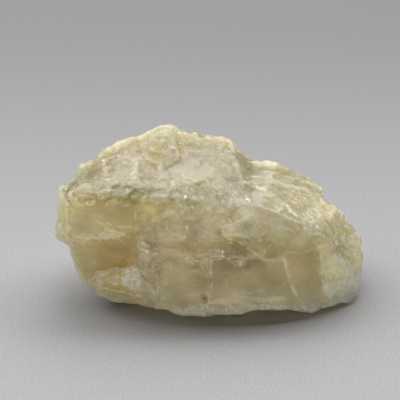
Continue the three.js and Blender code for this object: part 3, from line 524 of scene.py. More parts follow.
def noise(p, size, seed=0):
    q = np.asarray(p, float) / size + seed * 17.31
    i0 = np.floor(q).astype(np.int64)
    f = (q - i0).astype(np.float32)
    w = f * f * f * (f * (f * 6 - 15) + 10)
    out = np.zeros(len(q), np.float32)
    for a in (0, 1):
        for b in (0, 1):
            for c in (0, 1):
                g = _G[_hash(i0[:, 0] + a, i0[:, 1] + b, i0[:, 2] + c, seed) & 255]
                d = f - np.array([a, b, c], np.float32)
                v = (g * d).sum(1)
                ww = (w[:, 0] if a else 1 - w[:, 0]) * (w[:, 1] if b else 1 - w[:, 1]) * (w[:, 2] if c else 1 - w[:, 2])
                out += ww * v
    return out * 1.5


def fbm(p, size, octaves=4, seed=0, gain=0.5):
    out, amp = 0, 1.0
    for o in range(octaves):
        out = out + amp * noise(p, size / 2**o, seed + 31 * o)
        amp *= gain
    return out


# Drawing on the front: signed distance to an open line, positive on its left as it runs.
def line_distance(p2, pts):
    pts = np.asarray(pts, float)
    best = np.full(len(p2), 1e9)
    sign = np.ones(len(p2))
    along = np.zeros(len(p2))
    run = 0.0
    for a, b in zip(pts[:-1], pts[1:]):
        ab = b - a
        L = float(np.hypot(*ab))
        t = np.clip(((p2 - a) @ ab) / (L * L), 0, 1)
        d = p2 - (a + t[:, None] * ab)
        dist = np.hypot(d[:, 0], d[:, 1])
        m = dist < best
        best[m] = dist[m]
        c = ab[0] * (p2[:, 1] - a[1]) - ab[1] * (p2[:, 0] - a[0])
        sign[m] = np.sign(c[m]) + (c[m] == 0)
        along[m] = run + t[m] * L
        run += L
    return best, sign, along, run


def polygon_distance(p2, pts):
    """Signed distance to a closed outline, negative inside."""
    pts = np.asarray(pts, float)
    best = np.full(len(p2), 1e9)
    inside = np.zeros(len(p2), bool)
    for a, b in zip(pts, np.roll(pts, -1, 0)):
        ab = b - a
        t = np.clip(((p2 - a) @ ab) / max(ab @ ab, 1e-12), 0, 1)
        d = p2 - (a + t[:, None] * ab)
        best = np.minimum(best, np.hypot(d[:, 0], d[:, 1]))
        cross = (a[1] > p2[:, 1]) != (b[1] > p2[:, 1])
        with np.errstate(divide="ignore", invalid="ignore"):
            xi = (b[0] - a[0]) * (p2[:, 1] - a[1]) / (b[1] - a[1]) + a[0]
        inside ^= cross & (p2[:, 0] < xi)
    return np.where(inside, -best, best)

# ---------------------------------------------------------------------------------------
# The fractured surface
# ---------------------------------------------------------------------------------------
H = 0.31
g = Grid(RAW_LO - [1.8, 1.8, 1.2], RAW_HI + [1.8, 1.8, 2.0], H)


def front_xy(p):
    return np.column_stack([p[:, 0], p @ UP])


AIM = np.array([-1.76, 0.0, 17.3])  # the point looked at, and from how far
AWAY = 400.0


def seen(p):
    """Where points appear to the front viewer: x and height in the leaning plane through AIM."""
    rel = np.asarray(p, float) - (AIM - AWAY * INTO)
    w = AWAY / (rel @ INTO)
    return np.column_stack([AIM[0] + rel[:, 0] * w, AIM @ UP + (rel @ UP) * w])


def soft_area(p2, name, edge=0.6, grow=0.0):
    """1 inside a named area, 0 outside, soft over its edge."""
    pts = np.asarray(AREAS[name], float)
    out = np.zeros(len(p2))
    near = ((p2 > pts.min(0) - edge - grow) & (p2 < pts.max(0) + edge + grow)).all(1)
    d = polygon_distance(p2[near], pts) - grow
    out[near] = 1.0 - smoothstep(-edge, edge, d)
    return out


def step(p2, name, height, reach, side=1.0, width=0.10, fade=0.18):
    """A crisp step along a line: one side stands proud and eases back over `reach`."""
    pts = np.asarray(LINES[name], float)
    out = np.zeros(len(p2))
    near = ((p2 > pts.min(0) - 4 * reach) & (p2 < pts.max(0) + 4 * reach)).all(1)
    d, s, along, total = line_distance(p2[near], pts)
    u = along / total
    ends = smoothstep(0.0, fade, u) * (1.0 - smoothstep(1.0 - fade, 1.0, u))
    s = np.clip(d * s * side / width, -1, 1)
    out[near] = height * 0.5 * s * np.exp(-d / reach) * ends
    return out


def line(p2, name, height, width, fade=0.15):
    pts = np.asarray(LINES[name], float)
    out = np.zeros(len(p2))
    near = ((p2 > pts.min(0) - 3 * width) & (p2 < pts.max(0) + 3 * width)).all(1)
    d, s, along, total = line_distance(p2[near], pts)
    u = along / total
    ends = smoothstep(0.0, fade, u) * (1.0 - smoothstep(1.0 - fade, 1.0, u))
    out[near] = height * np.exp(-((d / width) ** 2)) * ends
    return out


def hairs(p2):
    """The fine fracture lines: signed distance to the nearest, how strong it is there, and its width."""
    best = np.full(len(p2), 9.0)
    signed, strong, wide = np.ones(len(p2)), np.zeros(len(p2)), np.full(len(p2), 0.15)
    for amount, width, pts in HAIRS:
        pts = np.asarray(pts, float)
        near = np.nonzero(((p2 > pts.min(0) - 1.2) & (p2 < pts.max(0) + 1.2)).all(1))[0]
        d, s, along, total_ = line_distance(p2[near], pts)
        m = d < best[near]
        near, d, s, u = near[m], d[m], s[m], along[m] / total_
        best[near] = d
        signed[near] = d * s
        ends = 0.55 + 0.45 * smoothstep(0.0, 0.25, u) * (1.0 - smoothstep(0.75, 1.0, u))
        strong[near] = amount * ends * (1.0 - smoothstep(0.30, 0.75, d))
        wide[near] = width
    return signed, strong, wide


_T = np.random.default_rng(8).normal(size=(1024, 3))
_T = (_T / np.linalg.norm(_T, axis=1)[:, None] * np.random.default_rng(9).uniform(0.3, 1.0, (1024, 1))).astype(np.float32)
_J = np.random.default_rng(10).uniform(0.08, 0.92, (1024, 3)).astype(np.float32)
_O = np.random.default_rng(12).uniform(-1.0, 1.0, 1024).astype(np.float32)

# the layering of the crystal, and the two directions it splits in
LAY = np.array([0.12, -0.30, 0.95])
LAY = LAY / np.linalg.norm(LAY)
ALONG = np.array([0.93, 0.10, -0.35])
ALONG = ALONG - LAY * (ALONG @ LAY)
ALONG = ALONG / np.linalg.norm(ALONG)
ACROSS = np.cross(LAY, ALONG)


def facets(p, size, seed, tilt=0.35, offset=0.1, stretch=(1.5, 1.2, 0.8)):
    """Flat broken plates: each point takes the plane of the nearest of a scatter of seeds."""
    frame_ = np.array([ALONG / stretch[0], ACROSS / stretch[1], LAY / stretch[2]])
    q = (np.asarray(p, float) @ frame_.T) / size + 40.0 + seed * 3.7
    i0 = np.floor(q).astype(np.int64)
    f = (q - i0).astype(np.float32)
    best = np.full(len(q), 1e9, np.float32)
    pick = np.zeros(len(q), np.int64)
    rel = np.zeros((len(q), 3), np.float32)
    for a in (-1, 0, 1):
        for b in (-1, 0, 1):
            for c in (-1, 0, 1):
                k = _hash(i0[:, 0] + a, i0[:, 1] + b, i0[:, 2] + c, seed) & 1023
                d = f - _J[k] - np.array([a, b, c], np.float32)
                d2 = (d * d).sum(1)
                m = d2 < best
                best[m] = d2[m]
                pick[m] = k[m]
                rel[m] = d[m]
    return size * (tilt * (rel * _T[pick]).sum(1) + offset * _O[pick])


def facing(p, soft):
    """The normal of the smoothed surface at points, and how much it faces the front."""
    e = 0.35
    n = np.column_stack([
        g.sample(soft, p + np.eye(3)[a] * e) - g.sample(soft, p - np.eye(3)[a] * e) for a in range(3)
    ])
    n /= np.maximum(np.linalg.norm(n, axis=1), 1e-9)[:, None]
    return -(n @ INTO), n


def roughness_at(p, n, face):
    """How crumbly the surface is at points: 0 smooth cleavage, 1 crushed."""
    p2 = front_xy(p) + 0.9 * np.column_stack([noise(p, 3.0, 5), noise(p, 3.0, 6)]) + 0.35 * np.column_stack([noise(p, 1.2, 7), noise(p, 1.2, 8)])
    wander = fbm(p, 8.0, 2, seed=3)
    r = np.clip(0.45 + 1.1 * wander, 0.05, 0.95)
    top = smoothstep(0.35, 0.75, n[:, 2])
    r = r * (1 - top) + (0.31 + 0.26 * wander) * top
    w = smoothstep(0.05, 0.3, face)
    f = 0.5 + 0.5 * wander
    for name, value, edge in (
        ("crumb_mid", 0.60, 1.2), ("crumb_right", 0.70, 1.2), ("slope", 0.20, 1.5), ("calm_mid", 0.16, 1.0),
        ("face", 0.07, 1.8), ("band", 0.16, 1.4), ("recess", 0.14, 1.4), ("under", 0.20, 1.4),
        ("crumb_rib", 0.80, 0.6), ("brow_strip", 0.75, 0.8), ("white", 0.5, 0.4),
    ):
        m = soft_area(p2, name, edge)
        f = f * (1 - m) + value * m
    low = 1 - top
    r = r * (1 - w * low) + f * w * low
    return np.clip(r, 0.0, 1.0)


def chip(F, rng, p, n, size, tilt, depth):
    """Takes a flat flake off: a tilted slab with irregular sides, deepest at one edge."""
    t = rng.normal(size=3)
    t -= n * (t @ n)
    t /= np.linalg.norm(t)
    b = np.cross(n, t)
    m = n * math.cos(tilt) + t * math.sin(tilt)
    q = p - n * depth
    s, x, y, z = g.window(p, size * 1.5 + 0.4)
    if 0 in [k.stop - k.start for k in s]:
        return
    cut = -(m[0] * (x - q[0]) + m[1] * (y - q[1]) + m[2] * (z - q[2]))
    k = rng.integers(5, 9)
    turn = rng.uniform(0, 2 * math.pi)
    for i in range(k):
        a = turn + 2 * math.pi * (i + rng.uniform(-0.4, 0.4)) / k
        d = t * math.cos(a) + b * math.sin(a) + n * rng.uniform(-0.6, 0.1)
        d /= np.linalg.norm(d)
        r = size * rng.uniform(0.55, 1.0)
        np.maximum(cut, d[0] * (x - p[0]) + d[1] * (y - p[1]) + d[2] * (z - p[2]) - r, out=cut)
    np.maximum(F[s], -cut, out=F[s])


def make_field():
    base = None
    for pts in MASSES.values():
        f = g.convex(hull_planes(pts))
        base = f if base is None else smooth_min(base, f, 0.8)
    base = smooth_min(base, g.convex(hull_planes(SILL)), 2.2)
    for name, pts in FRACTURES.items():
        deep, blend = (0.55, 2.2) if name == "recess" else (0.0, 0.9)
        base = -smooth_min(-base, g.convex(hull_planes(pts)) + deep, blend)
    soft = blur(base, 1.6 / H)
    F = base - 0.30  # what the flakes take off again

    near = np.abs(F) < 1.7
    p = g.points(near)
    face, n = facing(p, soft)
    p2 = front_xy(p)
    rough = roughness_at(p, n, face)
    w = smoothstep(0.08, 0.35, face)
    # the clean cleavage in front is one surface: no corners of the masses show through it
    even = w * np.maximum.reduce([soft_area(p2, k, 2.5) for k in ("face", "slope", "calm_mid")])
    F[near] += (0.9 * even * np.clip(soft[near] - base[near], -0.6, 0.6)).astype(np.float32)
    rim_d = polygon_distance(seen(p), OUTLINE)

    # relief drawn on the front
    wob = 0.36 * np.column_stack([noise(p, 1.9, 11), noise(p, 1.9, 12)]) + 0.16 * np.column_stack([noise(p, 0.8, 13), noise(p, 0.8, 14)])
    q2 = p2 + wob
    d = np.zeros(len(p))
    for name, height, reach, side, width in RELIEF:
        d += step(q2, name, height, reach, side, width)
    d -= line(q2, "groove", 0.22, 0.25)
    d -= line(q2, "crack", 0.15, 0.14)
    d -= line(q2, "arc", 0.12, 0.15)
    d += 0.20 * soft_area(q2, "crumb_rib", 1.0)
    d += 0.10 * soft_area(q2, "cream", 0.6) - 0.10 * soft_area(q2, "gold", 0.8)
    d -= 0.25 * soft_area(q2, "pit", 0.25)
    d += 0.25 * soft_area(q2, "pale_right", 0.5)
    side, near_hair, _width = hairs(p2)
    d += (0.03 * np.tanh(side / 0.22) + 0.07 * np.exp(-((side / 0.25) ** 2))) * near_hair
    d *= w
    # a little more stone where the outline is to be trimmed
    d += 0.65 * np.exp(-((rim_d / 1.6) ** 2)) * (1.0 - smoothstep(0.25, 0.6, np.abs(face)))
    d += 0.15 * np.exp(-((rim_d / 2.4) ** 2)) * smoothstep(0.3, 0.5, face) * (1.0 - smoothstep(-4.0, -2.0, p2[:, 1]))

    # broad unevenness, then broken plates from broad to fine
    quiet = (("face", 1.0), ("recess", 1.0), ("calm_mid", 0.8), ("slope", 0.4), ("band", 0.4))
    calm = 1.0 - w * np.maximum.reduce([a * soft_area(p2, k, 1.0) for k, a in quiet])
    wide = 1.0 - w * np.maximum.reduce([a * soft_area(p2, k, 3.5) for k, a in (*quiet, ("low_front", 0.9))])
    on = p - n * base[near][:, None]  # the nearest place on the surface, so that nothing undercuts
    bow = 0.50 * fbm(on, 12.0, 2, seed=40)
    d += bow * (0.25 + 0.75 * wide)
    warp = on + 0.35 * np.column_stack([noise(on, 2.5, 51), noise(on, 2.5, 52), noise(on, 2.5, 53)])
    top = smoothstep(0.4, 0.8, n[:, 2]) * (0.70 + 0.30 * smoothstep(17.5, 21.5, p2[:, 1]))
    d += facets(warp, 7.5, 70, 0.13, 0.024) * (0.04 + 0.96 * wide) * (1.0 - 0.45 * top)
    d += facets(warp, 2.2, 77, 0.32, 0.10) * w * soft_area(q2, "brow_strip", 1.0)
    d += facets(warp, 3.4, 71, 0.17, 0.025) * (0.10 + 0.9 * rough) * (0.2 + 0.8 * calm) * (1.0 - 0.85 * top)
    d += facets(warp, 1.7, 72, 0.23, 0.038) * (0.04 + 0.96 * rough ** 1.3) * (1.0 - 0.78 * top)
    d += facets(warp, 0.9, 73, 0.32, 0.070) * (0.02 + 0.98 * rough ** 1.5) * (1.0 - 0.55 * top)
    F[near] -= d.astype(np.float32)

    # flakes along the edges
    rng = np.random.default_rng(2024)

    def spots(count, floor=0.0):
        s = rng.uniform(RAW_LO - 1.0, RAW_HI + 1.0, (count * 12, 3))
        dist = g.sample(soft, s)
        s = s[np.abs(dist) < 2.0][:count]
        for _ in range(6):
            _f, m = facing(s, soft)
            s = s - m * g.sample(F, s)[:, None] * 0.8
        f, m = facing(s, soft)
        r = roughness_at(s, m, f)
        # only where the surface lies flat, so that no flake undercuts an edge
        true = np.column_stack([g.sample(F, s + a) - g.sample(F, s - a) for a in 0.8 * np.eye(3)])
        true /= np.maximum(np.linalg.norm(true, axis=1), 1e-9)[:, None]
        keep = (rng.random(len(s)) < smoothstep(floor - 0.1, floor + 0.35, r)) & (s[:, 2] > 0.3)
        keep &= ((true * m).sum(1) > 0.95) & ((f < 0.1) | (f > 2.0))
        return s[keep], m[keep], r[keep], f[keep]

    for q, m, r, f in zip(*spots(60, 0.1)):
        if f < 0.05:
            chip(F, rng, q, m, rng.uniform(3.5, 7.0), math.radians(rng.uniform(3, 10)), rng.uniform(0.15, 0.7))
        else:
            chip(F, rng, q, m, rng.uniform(1.6, 3.0), math.radians(rng.uniform(4, 10)), rng.uniform(0.04, 0.10 + 0.08 * r))
    for q, m, r, f in zip(*spots(140, 0.3)):
        chip(F, rng, q, m, rng.uniform(1.0, 2.0), math.radians(rng.uniform(6, 18)), rng.uniform(0.03, 0.06 + 0.10 * r))

    # the outline, seen from the front
    near = np.abs(F) < 2.6
    p = g.points(near)
    rim_d = polygon_distance(seen(p), OUTLINE)
    by = np.abs(rim_d) < 1.5
    q = p[by]
    rim_d[by] += facets(q, 1.8, 75, 0.30, 0.06, (1.2, 1.2, 1.0)) + facets(q, 0.9, 76, 0.24, 0.06, (1.2, 1.2, 1.0))
    f = -smooth_min(-F[near], -(rim_d.astype(np.float32) + 0.05), 0.12)
    F[near] = np.where(rim_d > -1.5, f, F[near])
    # grit, and a little waviness on the smooth cleavage
    near = np.abs(F) < 1.0
    p = g.points(near)
    face, n = facing(p, soft)
    rough = roughness_at(p, n, face)
    d = 0.07 * fbm(p, 1.1, 2, seed=60) * (0.05 + 0.95 * rough) + 0.04 * noise(p, 2.4, 61)
    F[near] -= d.astype(np.float32)
    # the resting face
    np.maximum(F, -(g.z - 0.0)[None, None, :], out=F)
    return F, soft


RELIEF = (
    # name, height, reach, which side stands proud, how crisp
    ("brow", 0.14, 1.4, 1.0, 0.60),
    ("ledge", 0.28, 1.3, 1.0, 0.30),
    ("wall", 0.12, 1.4, 1.0, 0.60),
    ("rib", 0.16, 1.3, -1.0, 0.25),
    ("zigzag", 0.20, 0.9, 1.0, 0.18),
    ("diagonal", 0.16, 1.8, 1.0, 0.45),
    ("upright", 0.30, 1.5, 1.0, 0.30),
    ("top_step", 0.16, 0.9, 1.0, 0.15),
    ("low_crack", 0.35, 0.9, 1.0, 0.20),
    ("rim_line", 0.35, 1.0, 1.0, 0.20),
    ("foot_line", 0.45, 1.0, 1.0, 0.20),
    ("seam", 0.14, 0.9, 1.0, 0.20),
    ("crown_step", 0.28, 1.2, -1.0, 0.25),
    ("crown_step2", 0.24, 1.0, 1.0, 0.25),
    ("crown_lip", 0.35, 0.9, 1.0, 0.20),
    ("right_lip", 0.45, 1.2, 1.0, 0.20),
    ("right_band", 0.22, 0.9, 1.0, 0.20),
    ("left_lip", 0.20, 1.0, 1.0, 0.30),
)


def surface_nets(F):
    S = F < 0
    n = F.shape
    corner = [S[a:n[0] - 1 + a, b:n[1] - 1 + b, c:n[2] - 1 + c] for a in (0, 1) for b in (0, 1) for c in (0, 1)]
    active = np.logical_or.reduce(corner) & ~np.logical_and.reduce(corner)
    index = -np.ones(active.shape, np.int64)
    I, J, K = np.nonzero(active)
    index[I, J, K] = np.arange(len(I))
    acc, cnt = np.zeros((len(I), 3)), np.zeros(len(I))
    for axis in range(3):
        others = [a for a in range(3) if a != axis]
        for u in (0, 1):
            for v in (0, 1):
                o = np.zeros(3, int)
                o[others[0]], o[others[1]] = u, v
                e = np.zeros(3, int)
                e[axis] = 1
                f0 = F[I + o[0], J + o[1], K + o[2]]
                f1 = F[I + o[0] + e[0], J + o[1] + e[1], K + o[2] + e[2]]
                m = (f0 < 0) != (f1 < 0)
                t = f0[m] / (f0[m] - f1[m])
                acc[m] += o + t[:, None] * e
                cnt[m] += 1
    verts = g.lo + g.h * (np.column_stack([I, J, K]) + acc / cnt[:, None])
    quads = []
    for axis in range(3):
        b, c = (axis + 1) % 3, (axis + 2) % 3
        s0 = [slice(None)] * 3
        s1 = [slice(None)] * 3
        s0[axis], s1[axis] = slice(0, n[axis] - 1), slice(1, n[axis])
        change = S[tuple(s0)] != S[tuple(s1)]
        at = np.array(np.nonzero(change)).T
        at = at[(at[:, b] > 0) & (at[:, c] > 0) & (at[:, b] < n[b] - 1) & (at[:, c] < n[c] - 1)]
        inside_first = S[at[:, 0], at[:, 1], at[:, 2]]
        eb, ec = np.zeros(3, int), np.zeros(3, int)
        eb[b], ec[c] = 1, 1
        ring = [at - eb - ec, at - ec, at, at - eb]
        q = np.column_stack([index[r[:, 0], r[:, 1], r[:, 2]] for r in ring])
        q[~inside_first] = q[~inside_first][:, ::-1]
        quads.append(q)
    return verts, np.concatenate(quads)


def largest_part(verts, quads):
    label = np.arange(len(verts))
    edges = np.concatenate([quads[:, [0, 1]], quads[:, [1, 2]], quads[:, [2, 3]], quads[:, [3, 0]]])
    while True:
        low = np.minimum(label[edges[:, 0]], label[edges[:, 1]])
        new = label.copy()
        np.minimum.at(new, edges[:, 0], low)
        np.minimum.at(new, edges[:, 1], low)
        new = new[new]
        if (new == label).all():
            break
        label = new
    names, counts = np.unique(label[quads[:, 0]], return_counts=True)
    keep = label == names[counts.argmax()]
    quads = quads[keep[quads[:, 0]]]
    renumber = np.cumsum(keep) - 1
    return verts[keep], renumber[quads]


F, SOFT = make_field()
verts, quads = largest_part(*surface_nets(F))
print("stone", len(verts), "points", len(quads), "quads")

# ---------------------------------------------------------------------------------------
# What the surface is like from place to place
# ---------------------------------------------------------------------------------------
def surface_state(v):
    face, n = facing(v, SOFT)
    p2 = front_xy(v)
    wob = 0.55 * np.column_stack([noise(v, 2.6, 81), noise(v, 2.6, 82)]) + 0.30 * np.column_stack([noise(v, 1.1, 84), noise(v, 1.1, 85)])
    q2 = p2 + wob
    w = smoothstep(0.05, 0.3, face)
    crush = roughness_at(v, n, face)
    crush = np.clip(crush + 0.35 * noise(v, 1.6, 83) * smoothstep(0.1, 0.5, crush), 0, 1)
    crush = crush * (1.0 - 0.3 * w * np.maximum(soft_area(q2, "gold", 0.5), soft_area(q2, "green", 0.6)))
    # the surface's convexity, which the shader turns into painted light on sharp edges and painted shade in creases
    sharp = blur(np.clip(F, -1.5, 1.5), 0.45 / H)
    edge = np.clip(g.sample(sharp, v) / 0.12, -1, 1)

    tint = np.ones((len(v), 3))

    def wash(mask, colour):
        tint[:] = tint * (1 - mask[:, None]) + tint * np.asarray(colour) * mask[:, None]

    # painted shade: surfaces facing up are darkened, to offset the stronger light they get than the front
    wash(smoothstep(0.2, 0.75, n[:, 2]), (0.635, 0.635, 0.645))
    drift = fbm(v, 9.0, 2, seed=90)
    wash(smoothstep(0.0, 0.5, drift), (1.0, 0.985, 0.94))
    wash(smoothstep(0.05, 0.5, -fbm(v, 7.0, 2, seed=91)), (0.975, 1.0, 0.96))
    blot = 0.75 + 0.6 * noise(v, 3.2, 92) + 0.3 * noise(v, 1.2, 95)
    for name, edge_, colour in TINTS:
        even = np.maximum(blot, 0.9) if name in ("gold", "green") else blot
        wash(np.clip(soft_area(q2, name, edge_) * w * even, 0, 1), colour)
    # the gold of the hidden sides: a few stained hollows like those in front
    hid = (1 - w) * smoothstep(0.22, 0.5, fbm(v, 8.0, 2, seed=93)) * (1.0 - smoothstep(0.3, 0.75, n[:, 2]))
    wash(np.clip(hid, 0, 1), (0.95, 0.88, 0.68))
    clear = np.zeros(len(v))
    for name in ("face", "recess", "slope", "band", "calm_mid", "under"):
        clear = np.maximum(clear, soft_area(q2, name, 2.4) * w * (1.0 if name in ("face", "recess") else 0.6))
    clear = np.maximum(clear, (1 - w) * (1.0 - smoothstep(0.15, 0.45, crush)))
    white = np.zeros(len(v))
    for name, edge_, amount in WHITES:
        white = np.maximum(white, amount * soft_area(q2, name, edge_) * w)
    p3 = p2 + 0.5 * (q2 - p2)
    for name, width, amount in PALE_LINES:
        white = np.maximum(white, line(p3, name, amount, width) * w)
    thin = p2 + 0.14 * np.column_stack([noise(v, 1.0, 86), noise(v, 1.0, 87)])
    side, strong, wide = hairs(thin)
    strong = strong * smoothstep(0.1, 0.3, face)
    fleck, dark = np.zeros(len(v)), np.zeros(len(v))
    for out, spots_, reach in ((fleck, FLECKS, 1.0), (dark, SPECKS, 1.0)):
        for x, y, r, amount in spots_:
            near = np.nonzero((np.abs(thin - [x, y]) < 3.3 * r + 0.5).all(1))[0]
            e = thin[near] - [x, y]
            c, s = math.cos(5 * x + 3 * y), math.sin(5 * x + 3 * y)
            d = np.hypot((e[:, 0] * c + e[:, 1] * s) / 1.5, (e[:, 1] * c - e[:, 0] * s) / 0.75)
            out[near] = np.maximum(out[near], amount * np.clip(1.0 - 0.5 * d / (r + 0.06), 0, 1))
    fleck, dark = fleck * smoothstep(0.0, 0.2, face), dark * w
    white = np.maximum(white, 0.35 * (soft_area(q2, "ring", 0.25) - soft_area(q2, "ring", 0.25, -0.45)) * w)
    cloud = np.clip(0.5 + 0.9 * fbm(v, 6.0, 3, seed=101), 0, 1)
    plate = facets(v + 0.35 * np.column_stack([noise(v, 2.5, 51), noise(v, 2.5, 52), noise(v, 2.5, 53)]), 3.4, 71, 0.0, 1.0)
    plate = 0.5 + 0.5 * plate / 3.4
    veined = smoothstep(-0.12, 0.25, fbm(v, 3.0, 2, seed=102))
    fresh = smoothstep(0.1, 0.4, fbm(v, 5.0, 2, seed=103))
    fine = np.column_stack([0.5 + 0.5 * np.clip(side / 0.8, -1, 1), strong, wide, fleck])
    return crush, edge, clear, np.clip(white, 0, 1), tint, cloud, plate, veined, fresh, fine, dark


WHITES = (
    # area, softness of its edge, how much powder shows; at rim and toe_pale this paleness is painted light
    ("white", 0.7, 0.95),
    ("pale_right", 0.7, 0.58),
    ("cream", 0.6, 0.5),
    # painted light: the lower rim lightened as if lit through its thin edge
    ("rim", 0.6, 0.62),
    # painted light: the turned-under right foot lightened where the lamps leave it dark
    ("toe_pale", 1.2, 0.60),
    ("mid_pale", 1.2, 0.20),
    ("face_left", 1.2, 0.12),
    ("pale_band", 0.8, 0.10),
    ("crumb_rib", 1.0, 0.10),
)
PALE_LINES = (
    ("rib", 0.25, 0.20),
    ("ledge", 0.20, 0.18),
    ("right_lip", 0.35, 0.35),
    ("brow", 0.30, 0.10),
)
TINTS = (
    # area, softness of its edge, colour it multiplies by
    ("stain", 1.6, (0.89, 0.79, 0.57)),
    # golden and a little darker along the band under the brow
    ("stain2", 1.8, (0.98, 0.93, 0.74)),
    ("recess", 1.2, (0.97, 0.94, 0.86)),
    ("gold", 0.6, (0.80, 0.70, 0.26)),
    ("green", 0.7, (1.04, 1.04, 0.72)),
    ("ochre", 0.8, (0.92, 0.82, 0.55)),
    ("low_front", 1.8, (0.93, 0.91, 0.84)),
    ("low_left", 1.5, (0.96, 0.90, 0.70)),
    # painted light: lightened to stand in for light passing through the stone
    ("slope", 1.8, (1.32, 1.38, 1.58)),
    ("band", 1.4, (0.93, 0.93, 0.93)),
    # painted light: lightened to stand in for light passing through the stone
    ("crumb_mid", 1.6, (1.50, 1.52, 1.64)),
    # painted shade: darkened to offset the lamps' light on this part
    ("calm_mid", 1.6, (0.90, 0.88, 0.82)),
    # painted shade: darker below the ledge
    ("ledge_low", 1.2, (0.76, 0.75, 0.70)),
    # painted shade: the brow, which the lamps catch, darkened
    ("brow_strip", 1.6, (0.86, 0.85, 0.78)),
    ("pale_band", 1.2, (0.88, 0.87, 0.84)),
    ("crumb_rib", 0.8, (0.80, 0.78, 0.72)),
    ("crumb_edge", 1.2, (0.84, 0.82, 0.78)),
    # painted light: lightened to stand in for light passing through the stone
    ("shoulder", 1.2, (1.40, 1.43, 1.52)),
    # painted light: lightened to stand in for light passing through the stone
    ("crown_mid", 2.4, (1.09, 1.11, 1.14)),
    ("green_right", 0.5, (0.97, 1.0, 0.78)),
    ("dark_wedge", 0.4, (0.90, 0.88, 0.80)),
    # painted shade: darkened to offset the top light here
    ("strip", 0.7, (0.86, 0.84, 0.80)),
    # painted shade: darkened to offset the top light here
    ("crown_left", 1.2, (0.88, 0.86, 0.79)),
    # painted shade, and a little yellower
    ("crown_low", 1.6, (0.88, 0.84, 0.72)),
    # painted shade: the left brow darkened
    ("brow_left", 1.0, (0.82, 0.80, 0.76)),
    # painted light: lightened to stand in for light passing through the stone
    ("crown_dip", 1.0, (1.22, 1.20, 1.14)),
    # painted light: lightened to stand in for light passing through the stone
    ("band_top", 1.0, (1.12, 1.12, 1.10)),
    # painted light: lightened to stand in for light passing through the stone
    ("mid_right", 1.2, (1.31, 1.33, 1.48)),
    # painted light: lightened where the turned-under foot gets little lamp light
    ("toe_pale", 1.6, (1.20, 1.19, 1.14)),
    ("face_deep", 1.4, (0.86, 0.85, 0.84)),
    # painted shade under the step
    ("under_step", 0.7, (0.86, 0.83, 0.76)),
    # painted light: lightened where the lower right end gets little lamp light
    ("crumb_right", 1.5, (1.36, 1.36, 1.30)),
    ("dark_spot", 0.9, (0.92, 0.91, 0.86)),
    ("pit", 0.25, (0.70, 0.62, 0.52)),
)
crush, edge, clear, white, tint, cloud, plate, veined, fresh, fine, dark = surface_state(verts)

# ---------------------------------------------------------------------------------------
# The stone's mesh
# ---------------------------------------------------------------------------------------
me = bpy.data.meshes.new("petalite")
me.vertices.add(len(verts))
me.vertices.foreach_set("co", to_model(verts).astype(np.float32).ravel())
me.loops.add(len(quads) * 4)
me.loops.foreach_set("vertex_index", quads.astype(np.int32).ravel())
me.polygons.add(len(quads))
me.polygons.foreach_set("loop_start", (np.arange(len(quads)) * 4).astype(np.int32))
me.update(calc_edges=True)
me.validate()
me.polygons.foreach_set("use_smooth", np.ones(len(me.polygons), bool))
for name, rgba in (
    ("state", np.column_stack([crush, 0.5 + 0.5 * edge, clear, white])),
    ("broad", np.column_stack([cloud, plate, veined, fresh])),
    ("tint", np.column_stack([tint, dark])),
    ("fine", fine),
):
    layer = me.attributes.new(name, "FLOAT_COLOR", "POINT")
    layer.data.foreach_set("color", rgba.astype(np.float32).ravel())
stone = bpy.data.objects.new("petalite", me)
bpy.context.scene.collection.objects.link(stone)


def nodes_of(name):
    mat = bpy.data.materials.new(name)
    mat.use_nodes = True
    return mat, mat.node_tree.nodes, mat.node_tree.links, mat.node_tree.nodes["Principled BSDF"]


# ---------------------------------------------------------------------------------------
# The crystal
# ---------------------------------------------------------------------------------------
HONEY = (0.68, 0.60, 0.36)  # clear stone
CREAM = (0.61, 0.565, 0.39)  # crushed stone
PALE = (0.94, 0.89, 0.68)  # fracture lines; also painted glints and the painted glow of edges
WHITE = (0.96, 0.955, 0.90)  # powder, and the brightest flecks, partly painted glints
smat, sn, sl, sb = nodes_of("petalite")


def value_of(x, socket):
    if isinstance(x, (int, float)):
        socket.default_value = x
    elif isinstance(x, tuple):
        socket.default_value = x if len(x) == len(socket.default_value) else (*x, 1.0)
    else:
        sl.new(x, socket)


def maths(op, a, b=0.0, clamp=False):
    node = sn.new("ShaderNodeMath")
    node.operation = op
    node.use_clamp = clamp
    value_of(a, node.inputs[0])
    value_of(b, node.inputs[1])
    return node.outputs[0]


def vmath(op, a, b=(0.0, 0.0, 0.0), out="Vector"):
    node = sn.new("ShaderNodeVectorMath")
    node.operation = op
    value_of(a, node.inputs[0])
    if op == "SCALE":
        value_of(b, node.inputs["Scale"])
    else:
        value_of(b, node.inputs[1])
    return node.outputs[out]


def ramp(x, lo, hi, a=0.0, b=1.0):
    node = sn.new("ShaderNodeMapRange")
    node.interpolation_type = "SMOOTHSTEP"
    node.clamp = True
    for key, val in (("Value", x), ("From Min", lo), ("From Max", hi), ("To Min", a), ("To Max", b)):
        value_of(val, node.inputs[key])
    return node.outputs[0]


def mix(fac, a, b, mode="MIX"):
    node = sn.new("ShaderNodeMix")
    node.data_type = "RGBA"
    node.blend_type = mode
    value_of(fac, node.inputs[0])
    value_of(a, node.inputs[6])
    value_of(b, node.inputs[7])
    return node.outputs[2]


def noise_tex(vec, size, detail=2.0, rough=0.5, distort=0.0, out="Fac"):
    node = sn.new("ShaderNodeTexNoise")
    node.inputs["Scale"].default_value = 1.0 / size
    node.inputs["Detail"].default_value = detail
    node.inputs["Roughness"].default_value = rough
    node.inputs["Distortion"].default_value = distort
    sl.new(vec, node.inputs["Vector"])
    return node.outputs[out]


def centred(x, gain):
    return maths("MULTIPLY", maths("SUBTRACT", x, 0.5), gain)


